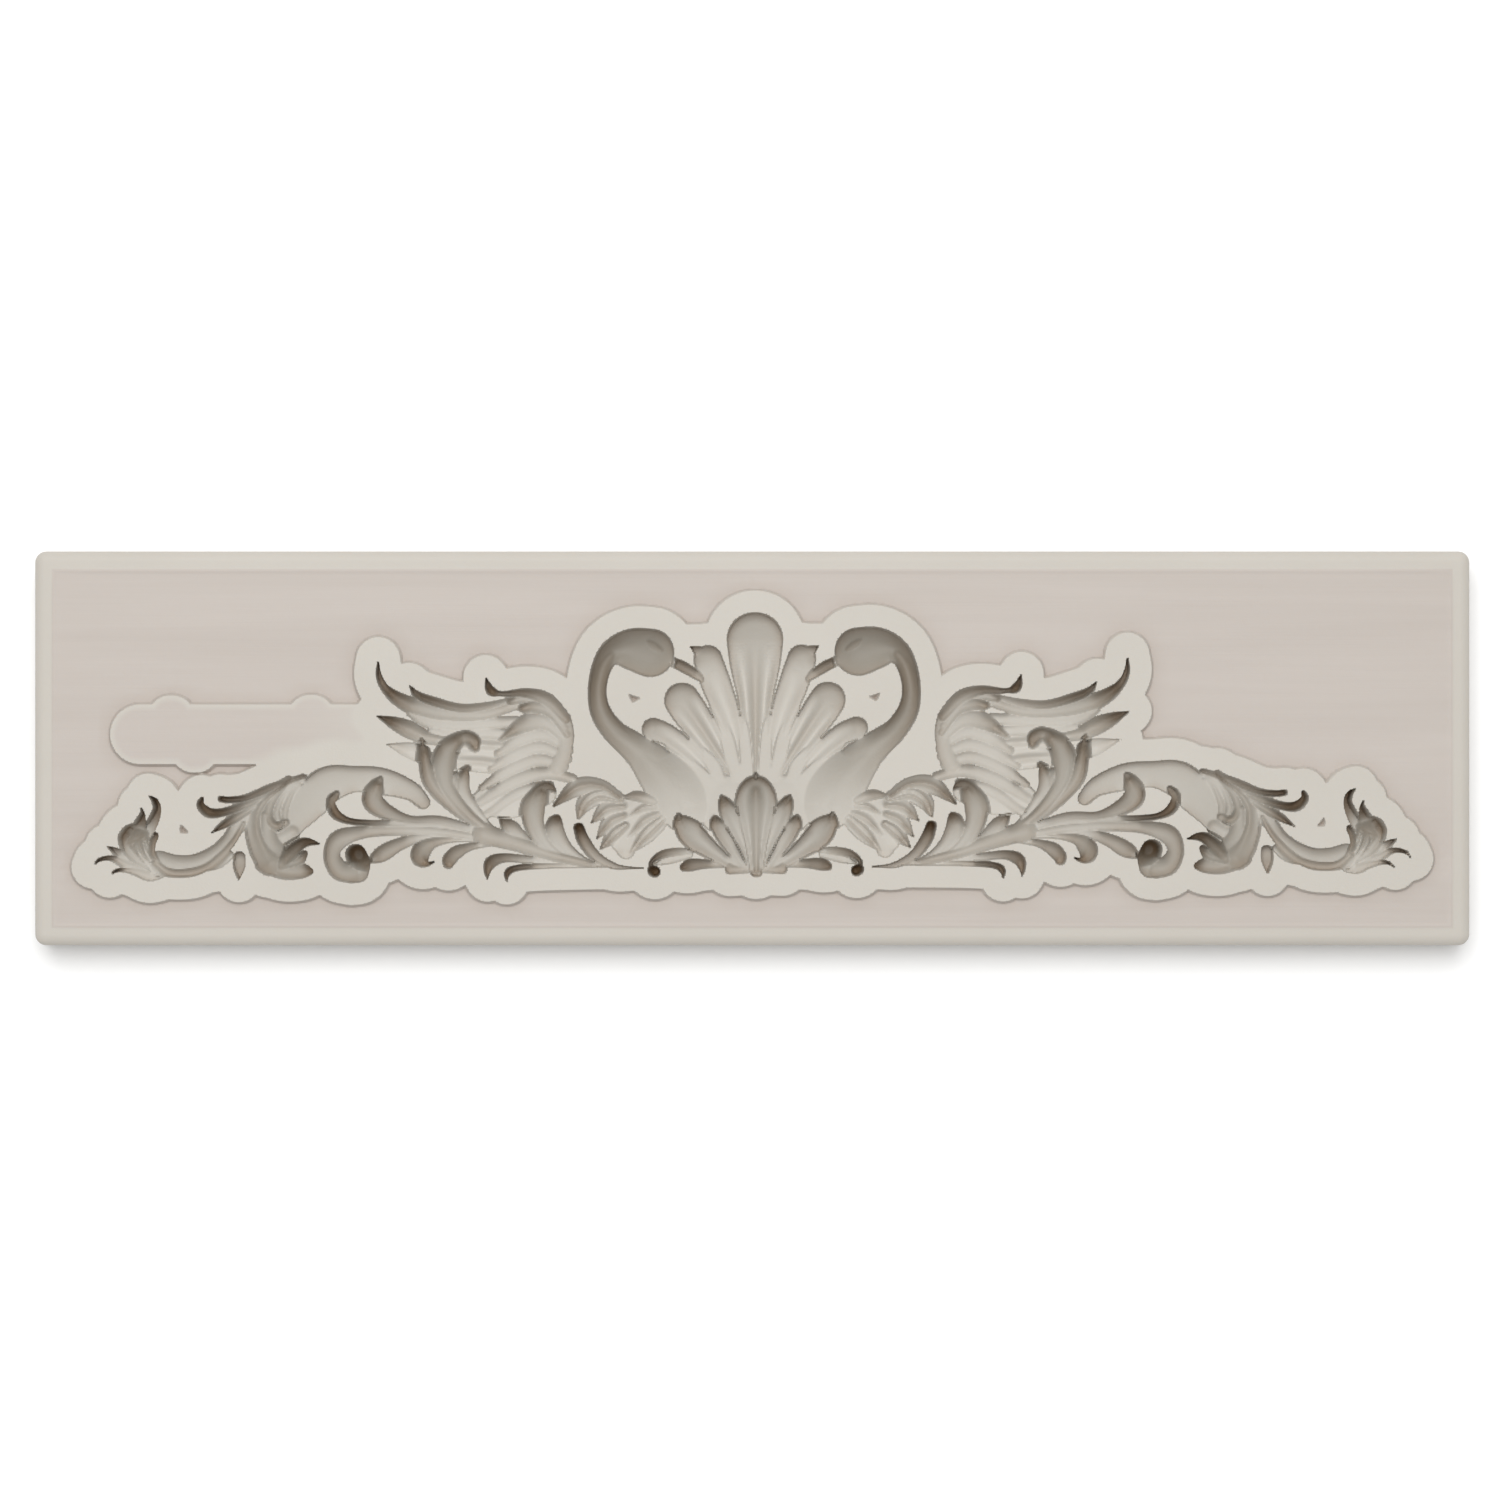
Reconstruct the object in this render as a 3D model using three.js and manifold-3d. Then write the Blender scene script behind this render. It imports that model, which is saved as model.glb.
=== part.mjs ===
// A silicone casting mould for a carved ornament, in millimetres, +Z up.
//
// It is one flexible casting: a flat slab, a raised scalloped border, a blank raised tab, and one open
// cavity in the shape of the ornament. The ornament is two swans that face a scallop shell, with wings,
// a palmette, leaves and scrolls. The cavity opens upwards, and the slab lies on its flat back.
//
// The origin is at the middle of the back face. +X runs along the slab.
//
// The ornament is drawn as tapered strokes. A stroke is a row of [x, y, reach] points along the middle
// of a leaf, feather or lobe, and reach is the distance from there to the edge.
import * as THREE from 'three';
import { mergeVertices } from 'three/addons/utils/BufferGeometryUtils.js';
import Module from 'manifold-3d';

const wasm = await Module();
wasm.setup();

// Driving dimensions
const SLAB_LENGTH = 256;
const SLAB_WIDTH = 70.3;
const SLAB_CORNER = 2;
const SLAB_TOP = 11;
const EDGE_ROUND_WIDTH = 1.9;
const EDGE_ROUND_DROP = 1.4;
const BORDER_TOP = 12;
const BORDER_WIDTH = 3.8;

// How far the bold and the faint parts of the cavity go down from the top of the border
const DEEP = 5.4;
const SHALLOW = 2.6;

// The right half mirrors the left across this line, a little shorter and turned a little
const MIRROR_X = 0.6;
const RIGHT_STRETCH = 0.988;
const RIGHT_TURN = THREE.MathUtils.degToRad(0.7);

// How finely curves are stepped, and how far a cutter passes the face it cuts
const CAVITY_CAP_STEPS = 3;
const BORDER_CAP_STEPS = 4;
const CORNER_STEPS = 4;
const SMALLEST_BOW = 0.25;
const SMALLEST_REACH = 0.05;
const COVER_MARGIN = 0.25;
const SMALLEST_AREA = 1e-5;
const PASS = 1;

const stroke = (depth, ...points) => ({ depth, points });

// The left half of the ornament, from the middle outwards

const SHELL = {
  centre: stroke(DEEP, [0.6, -8, 1.1], [0.6, -4, 1.4], [0.6, 0, 2], [0.6, 5, 2.6], [0.6, 10, 3.3],
    [0.6, 15, 4.4], [0.6, 19.3, 4.95]),
  lobe_1: stroke(DEEP, [-1.4, -8, 0.9], [-2.2, -3, 1.2], [-3.1, 2, 1.6], [-4.3, 6, 2.15],
    [-5.8, 9.8, 2.6], [-6.9, 12.8, 2.7], [-7.9, 15.8, 2.6]),
  lobe_1_corner: stroke(DEEP, [-7.6, 15.6, 2], [-9.3, 17.1, 1.1], [-11.1, 18.15, 0.08]),
  lobe_2: stroke(DEEP, [-2.2, -8, 0.9], [-4.4, -3.5, 1.6], [-6.7, 0, 2.2], [-9.3, 3.9, 2.9],
    [-11.2, 6.6, 3.2], [-12.5, 8.5, 3.2]),
  lobe_3: stroke(DEEP, [-4.6, -9, 0.9], [-6, -7, 1], [-7.7, -4.4, 1.15], [-10.1, -1.7, 1.4],
    [-12.8, 0.8, 1.75], [-15.3, 2.5, 1.95], [-17.6, 3.35, 2.1]),
  foot: stroke(SHALLOW, [-2, -8, 2.6], [-4.8, -8.4, 3.2], [-6.2, -12, 3]),
  between_1: stroke(SHALLOW, [-0.7, -8, 1], [-1, -3, 1], [-1.3, 1, 0.9], [-1.6, 4, 0.7],
    [-2.1, 6.9, 0.1]),
  between_2: stroke(SHALLOW, [-2, -8, 1], [-3.6, -2, 1.1], [-4.6, 2, 1.1], [-6.2, 5.8, 0.9],
    [-7.4, 8, 0.4], [-8, 8.8, 0.15]),
  between_3: stroke(SHALLOW, [-3.6, -8, 1], [-5.8, -5.5, 1], [-7, -3, 1.1], [-9.2, -0.4, 0.7],
    [-10.8, 1.3, 0.4], [-11.3, 1.8, 0.15]),
  between_4: stroke(SHALLOW, [-6.8, -8.4, 1.6], [-8.6, -5.4, 1.2], [-12, -2.1, 1], [-14, -0.5, 0.8],
    [-15.4, 0.7, 0.35]),
};

const SWAN = {
  neck: stroke(DEEP, [-18.2, 17, 4.35], [-21, 17.6, 3.8], [-23.7, 17.6, 2.7], [-25.9, 16.2, 2],
    [-27.2, 13.2, 1.75], [-27.6, 9.6, 1.7], [-26.9, 6.3, 1.9], [-24.7, 3.1, 2.1],
    [-21.6, 0.6, 2.6], [-18, -2.2, 3.3]),
  body: stroke(DEEP, [-20.5, -0.4, 2.4], [-17.6, -3.2, 3.6], [-15, -6, 4.6], [-13.2, -8.6, 5.1],
    [-12, -10.6, 4.4]),
  beak: stroke(DEEP, [-14.4, 15.5, 0.9], [-12.2, 14.45, 1], [-10.2, 13.2, 0.85], [-9.2, 12.3, 0.5]),
};

const BREAST_FEATHERS = {
  feather_1: stroke(DEEP, [-17.5, -9.4, 1.2], [-20.4, -8.6, 1], [-23.4, -8.7, 0.15]),
  feather_2: stroke(SHALLOW, [-16.8, -10.5, 1.4], [-19.5, -10.6, 1.3], [-22.4, -12.4, 0.2]),
  feather_3: stroke(SHALLOW, [-16.6, -11.6, 1.4], [-19.4, -13, 1.4], [-22.2, -15.9, 0.2]),
  feather_4: stroke(SHALLOW, [-16, -12.6, 1.4], [-18.8, -15.2, 1.7], [-21.8, -18.7, 0.2]),
};

const TAIL_FEATHERS = {
  feather_1: stroke(SHALLOW, [-23.5, -9.2, 1.2], [-27.2, -8.3, 1.7], [-29.8, -9.8, 1.5],
    [-31, -12.4, 0.3]),
  feather_2: stroke(SHALLOW, [-22.9, -10.4, 1.2], [-26, -10.9, 1.5], [-28.7, -13.3, 0.15]),
  feather_3: stroke(SHALLOW, [-22.8, -12, 1.2], [-25.3, -13.2, 1.5], [-27.7, -16.1, 0.15]),
  feather_4: stroke(SHALLOW, [-22.6, -13.8, 1.2], [-24.5, -15.3, 1.6], [-27.1, -18, 0.15]),
  top: stroke(DEEP, [-23.7, -8.8, 1], [-27.2, -6.7, 1.3], [-31.2, -7, 1.6], [-35.3, -10.2, 0.3]),
  ground: stroke(SHALLOW, [-20.5, -10, 2.5], [-23, -14, 3.2], [-22.5, -18.2, 1.6]),
};

const WING_FEATHERS = {
  feather_edge: stroke(SHALLOW, [-37, 8.4, 1.2], [-34.2, 5.8, 1.5], [-33.2, 2.6, 1.5],
    [-33.5, -0.6, 1.3], [-34.8, -3.4, 1.3]),
  feather_1: stroke(DEEP, [-33.4, 5.2, 1.2], [-36.6, 8.3, 1.6], [-40.2, 9.7, 1.05],
    [-44.6, 9.7, 0.5], [-46.6, 10.3, 0.85], [-47.5, 12.7, 0.08]),
  feather_2: stroke(DEEP, [-33.3, 3.6, 1], [-37, 7.6, 1.2], [-40.4, 8.9, 1], [-43.2, 8.3, 0.5]),
  feather_3: stroke(DEEP, [-33, 2.4, 1], [-36, 6.5, 1.3], [-39, 7.5, 1.2], [-41, 7.1, 0.7]),
  feather_4: stroke(DEEP, [-32.9, 1, 1], [-36.8, 4.6, 1.7], [-40.8, 4.2, 1.6], [-44.7, 1.7, 0.15]),
  feather_5: stroke(SHALLOW, [-32.8, -0.4, 1], [-37, 2.4, 1.5], [-41, 1.7, 1.5], [-45.2, -0.9, 0.6]),
  feather_6: stroke(SHALLOW, [-33, -1.8, 1], [-37.6, 0.2, 1.4], [-42, -1.1, 1.5], [-46.5, -3.6, 0.5]),
  feather_7: stroke(SHALLOW, [-33.6, -3.2, 1], [-38, -2, 1.3], [-42.5, -3.5, 1.4], [-48.2, -7, 0.6]),
  feather_8: stroke(SHALLOW, [-32, -5.4, 0.9], [-37, -4.4, 1.2], [-42.5, -6, 1.4], [-48.4, -9.6, 0.8]),
  feather_9: stroke(SHALLOW, [-36, -6.6, 0.8], [-41.5, -8, 1.3], [-47.2, -11.8, 0.8]),
};

const WING_QUILLS = {
  long_1: stroke(DEEP, [-42.6, 7.6, 0.9], [-48, 6.1, 1.2], [-54, 6.2, 1.5], [-59, 7.1, 1.7],
    [-62.6, 8.5, 1.35], [-65.3, 10.6, 0.8], [-66.5, 13, 0.55], [-66.6, 15.9, 0.08]),
  long_2: stroke(DEEP, [-42.6, 8.6, 0.6], [-47, 7.4, 0.9], [-52, 7, 1], [-57, 8.3, 1],
    [-59.7, 9.5, 0.75], [-61.1, 11.3, 0.08]),
  long_3: stroke(SHALLOW, [-42, 4.8, 1], [-48, 4.4, 1.3], [-54, 4.4, 1.5], [-58.3, 5.1, 1.3],
    [-61, 6.2, 0.6]),
  long_4: stroke(SHALLOW, [-42.2, 2.4, 1], [-48, 2.8, 1.1], [-53, 2.6, 1.2], [-57, 3.2, 0.9]),
  under_1: stroke(DEEP, [-54.5, 1.3, 0.8], [-58.2, 2, 1.3], [-61.2, 3.4, 1.6], [-64, 4.6, 1.1],
    [-66.9, 5.8, 0.08]),
  under_2: stroke(SHALLOW, [-58.8, -1, 1.7], [-61.2, -0.3, 1.4], [-65.2, 0.75, 0.08]),
  ground_1: stroke(SHALLOW, [-42.5, 0.4, 1.6], [-47, 0.5, 1.9], [-53.5, 1.1, 1.5]),
  ground_2: stroke(SHALLOW, [-43.5, -3.2, 1.6], [-48, -2.4, 2], [-53, -2.2, 1.6]),
  ground_3: stroke(SHALLOW, [-37, -8, 2.2], [-43, -9.5, 3], [-47.6, -9.5, 2.4]),
  ground_4: stroke(SHALLOW, [-38, 6.2, 1.4], [-41.6, 7.8, 1.1], [-44, 6.9, 0.8]),
};

const PALMETTE = {
  centre: stroke(DEEP, [0.6, -22, 1], [0.6, -17, 1.8], [0.6, -13, 2.8], [0.6, -10, 3.5],
    [0.6, -8, 2.8], [0.6, -6.4, 1], [0.6, -4.5, 0.08]),
  leaf_1: stroke(DEEP, [-0.3, -21, 0.7], [-1.4, -17.5, 1.1], [-2.9, -14, 1.6], [-4.1, -11.6, 1.5],
    [-4.8, -10.1, 1], [-5.5, -8.5, 0.08]),
  leaf_2: stroke(DEEP, [-1.4, -21.3, 0.7], [-3.2, -18.6, 1.1], [-4.9, -16, 1.4], [-6, -14.3, 1.3],
    [-6.5, -13.2, 0.8], [-6.75, -12.1, 0.08]),
  leaf_3: stroke(DEEP, [-2.8, -21.3, 0.9], [-5.6, -19.4, 1.3], [-8.4, -17.4, 1.9],
    [-10.6, -15.6, 2.4], [-12, -14.2, 1.9], [-12.9, -13, 0.9], [-13.2, -11.6, 0.08]),
  foot: stroke(SHALLOW, [-0.8, -21.6, 0.7], [-3.9, -21.5, 1]),
  side: stroke(DEEP, [-4.2, -20.8, 0.5], [-8.5, -20.6, 0.9], [-11, -20.8, 1.15],
    [-12.2, -21.2, 0.75]),
  curl: stroke(DEEP, [-9.8, -18.3, 0.3], [-13, -18.4, 0.75], [-16, -18.9, 0.75],
    [-17.9, -20.2, 0.45], [-18, -21.2, 0.5]),
  curl_leaf: stroke(SHALLOW, [-11, -19, 0.5], [-14.5, -19.7, 0.9], [-17.2, -20.6, 0.3]),
  curl_ball: stroke(DEEP, [-17.7, -21.8, 1], [-17.35, -22, 1.05]),
};

const INNER_LEAF = {
  lobe_1: stroke(DEEP, [-18.6, -21.3, 0.14], [-21.5, -21.3, 0.25], [-24.5, -21, 0.6],
    [-27.8, -19.3, 0.95], [-30, -16.5, 1.15], [-30.9, -14.2, 1]),
  lobe_2: stroke(DEEP, [-26, -21, 0.3], [-30, -20.1, 0.8], [-33.4, -17.8, 1.4], [-35.1, -15.2, 1.8],
    [-35.2, -13.5, 1.5], [-34.8, -12.5, 0.8]),
  lobe_3: stroke(DEEP, [-28, -20.9, 0.4], [-34, -19.4, 0.9], [-37.4, -16.6, 1.4],
    [-38.9, -13.4, 1.85], [-39, -10.8, 2.1], [-38.2, -8.7, 1.5], [-37.4, -7.6, 0.8]),
  lobe_4: stroke(DEEP, [-33, -20.4, 0.4], [-38, -18.4, 0.8], [-41, -16.2, 1.3], [-43, -14.2, 1.45],
    [-44.2, -13.3, 0.8], [-45.1, -12.5, 0.1]),
  lobe_5: stroke(DEEP, [-31, -20.6, 0.4], [-39, -19.9, 0.7], [-44, -19.5, 0.85],
    [-46.5, -20.3, 1.1], [-47.2, -22, 0.6], [-47.1, -23.4, 0.08]),
  lobe_6: stroke(DEEP, [-28, -20.9, 0.4], [-37, -21, 0.5], [-41.8, -21.3, 0.6], [-43.6, -22.2, 0.6],
    [-43.7, -23.9, 0.08]),
  stem: stroke(DEEP, [-27, -20.9, 0.4], [-35, -19.2, 1.1], [-42, -16.9, 1.5], [-48, -15.2, 1.9]),
};

const RISING_LEAF = {
  lobe_1: stroke(DEEP, [-45, -16, 0.4], [-50.5, -12, 1], [-54.4, -7.2, 1.6], [-55.2, -3.2, 2.1],
    [-54.6, -0.6, 1.9], [-53.2, 1, 1.2], [-51.5, 1.9, 0.8], [-49.9, 1.4, 0.8], [-49.4, 0.2, 0.35]),
  lobe_2: stroke(DEEP, [-46, -15.8, 0.4], [-52.6, -11.2, 0.9], [-57, -6.4, 1.4],
    [-58.3, -2.6, 1.15], [-58.7, 0, 0.65], [-59.1, 1.9, 0.08]),
  lobe_3: stroke(DEEP, [-44.2, -16, 0.4], [-47.5, -13.4, 0.8], [-50, -10.6, 1.1],
    [-51.6, -7.5, 1.4], [-51.5, -5.2, 1.2], [-50.8, -3.6, 0.3]),
  lobe_4: stroke(DEEP, [-45.5, -15.6, 0.4], [-50, -12.2, 0.9], [-53, -8.8, 1.3], [-53.4, -6.2, 1.2],
    [-52.8, -4.6, 0.6]),
};

const OUTER_LEAF = {
  lobe_1: stroke(DEEP, [-46, -15.6, 0.5], [-55, -13, 0.9], [-61, -12.7, 0.8], [-65.4, -11.2, 1.5],
    [-67.6, -9.3, 1.9], [-67.3, -7.2, 1.3], [-66.25, -5.2, 0.08]),
  lobe_2: stroke(DEEP, [-46, -15.9, 0.5], [-54, -13.9, 1], [-62, -13.4, 0.75], [-68, -13.3, 0.6],
    [-72, -12.9, 0.65], [-74.3, -11.6, 0.95], [-75, -9.6, 0.75], [-74.2, -8.1, 0.3]),
  lobe_3: stroke(DEEP, [-47, -16.2, 0.5], [-55, -15, 1], [-62, -14.6, 1], [-69, -14.9, 1.15],
    [-73.5, -16.2, 1.7], [-74.9, -19, 1.5], [-73.6, -21.6, 1.8], [-71.3, -22.3, 1.8]),
  volute_eye: stroke(DEEP, [-70.6, -18.9, 1.9], [-70.1, -20.4, 2.1], [-70.4, -21.8, 2.2]),
  lobe_4: stroke(DEEP, [-50, -15.8, 0.4], [-58, -15.7, 0.8], [-62.6, -17, 1.15],
    [-65.9, -18.8, 1.45], [-68.3, -20.2, 0.4]),
  lobe_5: stroke(DEEP, [-46, -16.4, 0.4], [-53, -16.3, 0.5], [-57, -16.9, 1], [-58.9, -18.3, 1.7],
    [-59.1, -19.6, 1.5], [-58, -20.6, 0.55], [-56.2, -20, 0.08]),
  lobe_6: stroke(DEEP, [-45, -16.8, 0.4], [-50, -17.5, 0.7], [-52.6, -18.5, 1.2],
    [-53.9, -19.8, 1.25], [-54.1, -20.5, 1]),
};

const SCROLL = {
  scroll: stroke(DEEP, [-58.6, -9.6, 1.3], [-61, -7.5, 1.8], [-66, -5.9, 2.45], [-71, -5.5, 2.4],
    [-75.6, -6.5, 3.3], [-78.8, -9.6, 3.2], [-81.4, -12.8, 2.4], [-82.4, -15, 1.6]),
};

const SCROLL_WRAP = {
  ground: stroke(SHALLOW, [-81.6, -6.6, 1.1], [-84.3, -10, 1.9], [-84.6, -12.4, 1.3]),
  lobe_1: stroke(DEEP, [-79.6, -5, 0.4], [-82, -7.8, 0.7], [-83.3, -10.8, 0.6], [-83.4, -12.6, 0.4]),
  lobe_1_beside: stroke(DEEP, [-80.6, -5.1, 0.4], [-83.5, -8.2, 0.6], [-84.8, -11, 0.6],
    [-84.7, -12.8, 0.5]),
  lobe_2: stroke(DEEP, [-81.6, -5.3, 0.4], [-85.3, -8.6, 0.9], [-86.5, -11.4, 0.9],
    [-86.1, -13.3, 1], [-84.8, -13.9, 0.8], [-83.4, -13.3, 0.4]),
  fold: stroke(DEEP, [-86.4, -17, 1.2], [-84, -16, 1.7], [-82.1, -14.8, 1.75]),
  lobe_3: stroke(DEEP, [-82.5, -5.6, 0.8], [-87.6, -10, 1.7], [-88.6, -14, 1.8],
    [-87.4, -17.8, 2.3], [-85.8, -20.2, 2.6]),
  lobe_4: stroke(DEEP, [-87, -12, 1.2], [-86.4, -16, 2], [-85, -19, 2.2], [-84, -20.6, 1.6]),
  lobe_5: stroke(DEEP, [-84.3, -20.7, 0.9], [-82.7, -19, 1.35], [-80.9, -17.3, 1.15],
    [-79.2, -16.7, 0.8], [-76.8, -17.1, 0.08]),
  lobe_6: stroke(DEEP, [-87, -20.6, 1.6], [-83.4, -21.8, 1.6], [-80.6, -21.8, 1.5],
    [-78.8, -21.9, 0.7]),
  lobe_7: stroke(DEEP, [-84, -21.2, 1], [-81.2, -20.1, 1.3], [-79.8, -18.8, 0.7]),
};

const SPRAYS = {
  outer_1: stroke(DEEP, [-80, -5, 0.5], [-85.5, -7, 0.8], [-90, -8.8, 0.7], [-93, -9.2, 0.65],
    [-94.6, -9.05, 0.6]),
  outer_2: stroke(DEEP, [-84, -7.2, 0.6], [-90, -10, 0.9], [-94, -11.35, 0.8],
    [-96.7, -11.5, 0.95], [-98.2, -10.2, 0.75], [-98, -9, 0.4]),
  outer_3: stroke(DEEP, [-85, -8, 0.6], [-90.5, -11.4, 0.9], [-93.6, -13.3, 0.8],
    [-96.5, -15.2, 0.08]),
  stem: stroke(DEEP, [-85.5, -8.6, 1], [-88.9, -11, 1.5], [-91.6, -13.9, 1.35],
    [-93.4, -16.6, 1.35], [-95.8, -19, 1.6], [-99.3, -20.8, 1.95], [-102.8, -21, 2.1],
    [-105.6, -20.4, 2.2]),
  stem_leaf: stroke(SHALLOW, [-98, -21.4, 0.7], [-95.2, -20.5, 1], [-93.2, -19, 0.9]),
  bud: stroke(DEEP, [-91.3, -19.4, 1.1], [-91.35, -20.7, 1.15], [-91.4, -22, 0.75],
    [-91.4, -23.5, 0.08]),
};

const END_LEAF = {
  fan: stroke(DEEP, [-106, -22.4, 1.1], [-108.6, -19, 2.2], [-110, -16.2, 2.9]),
  lobe_1: stroke(DEEP, [-105.6, -22, 0.5], [-108, -18.5, 0.9], [-108, -15.5, 1.2],
    [-106.7, -13, 1.05], [-106, -10.9, 0.8], [-106.4, -9.4, 0.6], [-107.5, -8.4, 0.08]),
  lobe_2: stroke(DEEP, [-105.6, -22, 0.5], [-109.5, -18.5, 1], [-109.9, -15.5, 1.25],
    [-108.9, -13, 0.95], [-108.6, -11.5, 0.4], [-109, -10.3, 0.08]),
  lobe_3: stroke(DEEP, [-105.8, -22.2, 0.5], [-110.5, -19, 1], [-111.9, -16.2, 1.1],
    [-111.4, -14.8, 0.7]),
  lobe_4: stroke(DEEP, [-106.4, -22.4, 0.5], [-110.5, -20.3, 1], [-113, -18.6, 0.8],
    [-114.9, -17.4, 0.08]),
  lobe_5: stroke(DEEP, [-106.5, -22.4, 0.6], [-111, -20.9, 0.9], [-114, -19.6, 0.55],
    [-116.3, -19.9, 0.35], [-117.3, -21.1, 0.08]),
  lobe_6: stroke(DEEP, [-105.6, -22.3, 1], [-107.4, -22.6, 1.1], [-109.6, -22, 0.8],
    [-111.5, -21.7, 0.5], [-113.2, -21.8, 0.35], [-114.4, -22.7, 0.08]),
  lobe_7: stroke(DEEP, [-105.4, -21.2, 0.5], [-107, -18.8, 0.8], [-107, -16.9, 0.85],
    [-106.4, -15.6, 0.75]),
};

// The blank tab left of the wing, and the bumps on its edge
const TAB = [
  stroke(0, [-109, 2.5, 1.5], [-66, 2.5, 1.5]),
  stroke(0, [-103.7, 5.5, 0.1], [-103.2, 5.5, 0.1]),
  stroke(0, [-78.8, 5.6, 0.1], [-78.2, 5.6, 0.1]),
  stroke(0, [-99.5, -0.4, 0.1], [-98.9, -0.4, 0.1]),
];

const LEFT_HALF = [
  SHELL, SWAN, BREAST_FEATHERS, TAIL_FEATHERS, WING_FEATHERS, WING_QUILLS, PALMETTE, INNER_LEAF,
  RISING_LEAF, OUTER_LEAF, SCROLL, SCROLL_WRAP, SPRAYS, END_LEAF,
].flatMap((group) => Object.values(group));

function toSolid(geometry) {
  geometry.deleteAttribute('normal');
  geometry.deleteAttribute('uv');
  const merged = mergeVertices(geometry);
  const vertProperties = new Float32Array(merged.attributes.position.array);
  const triVerts = new Uint32Array(merged.index.array);
  return new wasm.Manifold(new wasm.Mesh({ numProp: 3, vertProperties, triVerts }));
}

function toGeometry(solid) {
  const mesh = solid.getMesh();
  const geometry = new THREE.BufferGeometry();
  geometry.setAttribute('position', new THREE.BufferAttribute(mesh.vertProperties, 3));
  geometry.setIndex(new THREE.BufferAttribute(mesh.triVerts, 1));
  geometry.computeVertexNormals();
  return geometry;
}

// The corners round a point, in order, from the triangles that meet there
function ringAround(point, triangles) {
  const next = new Map(triangles.map((corners) => {
    const at = corners.indexOf(point);
    return [corners[(at + 1) % 3], corners[(at + 2) % 3]];
  }));
  const ring = [next.keys().next().value];
  while (next.get(ring.at(-1)) !== ring[0] && ring.length <= triangles.length) {
    ring.push(next.get(ring.at(-1)));
  }
  return ring;
}

// Takes out the points that lie inside level faces, where one outline crossed another before they
// were joined, and fills each gap with new triangles. The shape stays the same.
function withoutFlatPoints(geometry) {
  const place = (i) => new THREE.Vector3().fromBufferAttribute(geometry.attributes.position, i);
  const area = ([a, b, c]) => {
    const [p, q, r] = [place(a), place(b), place(c)];
    return ((q.x - p.x) * (r.y - p.y) - (q.y - p.y) * (r.x - p.x)) / 2;
  };
  const isLevel = ([a, b, c]) => place(a).z === place(b).z && place(b).z === place(c).z;
  const meeting = Array.from({ length: geometry.attributes.position.count }, () => new Set());
  const index = geometry.index.array;
  for (let i = 0; i < index.length; i += 3) {
    const corners = [index[i], index[i + 1], index[i + 2]];
    corners.forEach((corner) => meeting[corner].add(corners));
  }
  meeting.forEach((set, point) => {
    const old = [...set];
    if (!old.every(isLevel)) return;
    const ring = ringAround(point, old);
    if (ring.length !== old.length) return;
    const outline = ring.map((corner) => new THREE.Vector2(place(corner).x, place(corner).y));
    const facesUp = area(old[0]) > 0;
    const fresh = THREE.ShapeUtils.triangulateShape(outline, [])
      .map((corners) => corners.map((corner) => ring[corner]))
      .map((corners) => (area(corners) > 0 === facesUp ? corners : corners.toReversed()));
    const isSliver = (corners) => Math.abs(area(corners)) < SMALLEST_AREA;
    const repeats = (corners) => corners.some((corner, i) => {
      const other = corners[(i + 1) % 3];
      const isRim = ring[(ring.indexOf(corner) + 1) % ring.length] === other;
      return !isRim && [...meeting[corner]].some((known) => !set.has(known) && known.includes(other));
    });
    if (fresh.length !== ring.length - 2 || fresh.some(isSliver) || fresh.some(repeats)) return;
    old.forEach((corners) => corners.forEach((corner) => meeting[corner].delete(corners)));
    fresh.forEach((corners) => corners.forEach((corner) => meeting[corner].add(corners)));
  });
  const kept = new Set(meeting.flatMap((set) => [...set]));
  geometry.setIndex([...kept].flat());
  geometry.deleteAttribute('normal');
  const tidy = mergeVertices(geometry);
  tidy.computeVertexNormals();
  return tidy;
}

function prism(outline, bottom, top) {
  const geometry = new THREE.ExtrudeGeometry(new THREE.Shape(outline), {
    depth: top - bottom,
    bevelEnabled: false,
  });
  return toSolid(geometry.translate(0, 0, bottom));
}

function joined(solids) {
  return solids.reduce((whole, solid) => whole.add(solid));
}

// The same stroke on the other side of the mirror line
function onTheRight({ depth, points }) {
  const turned = points.map(([x, y, reach]) => {
    const place = new THREE.Vector2((MIRROR_X - x) * RIGHT_STRETCH, y);
    place.rotateAround(new THREE.Vector2(), RIGHT_TURN);
    return [MIRROR_X + place.x, place.y, reach];
  });
  return { depth, points: turned };
}

// Round sections along a stroke, as { x, y, reach }. The places between the given points are kept only
// where the curve bows away from a straight line.
function sections(points, grow) {
  const places = points.map((point) => new THREE.Vector3(...point));
  const curve = new THREE.CatmullRomCurve3(places, false, 'centripetal');
  return curve.getPoints(2 * (points.length - 1))
    .filter((place, i, all) => {
      const isGiven = i % 2 === 0;
      return isGiven || all[i - 1].clone().lerp(all[i + 1], 0.5).distanceTo(place) > SMALLEST_BOW;
    })
    .map(({ x, y, z }) => ({ x, y, reach: Math.max(z, SMALLEST_REACH) + grow }));
}

function isInside(point, section, margin) {
  return Math.hypot(point.x - section.x, point.y - section.y) < section.reach - margin;
}

function around(section, angle) {
  const { x, y, reach } = section;
  return new THREE.Vector2(x + reach * Math.cos(angle), y + reach * Math.sin(angle));
}

function roundEnd(section, startAngle, steps) {
  const turn = Math.PI / steps;
  return Array.from({ length: steps - 1 }, (_, i) => around(section, startAngle - turn * (i + 1)));
}

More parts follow.
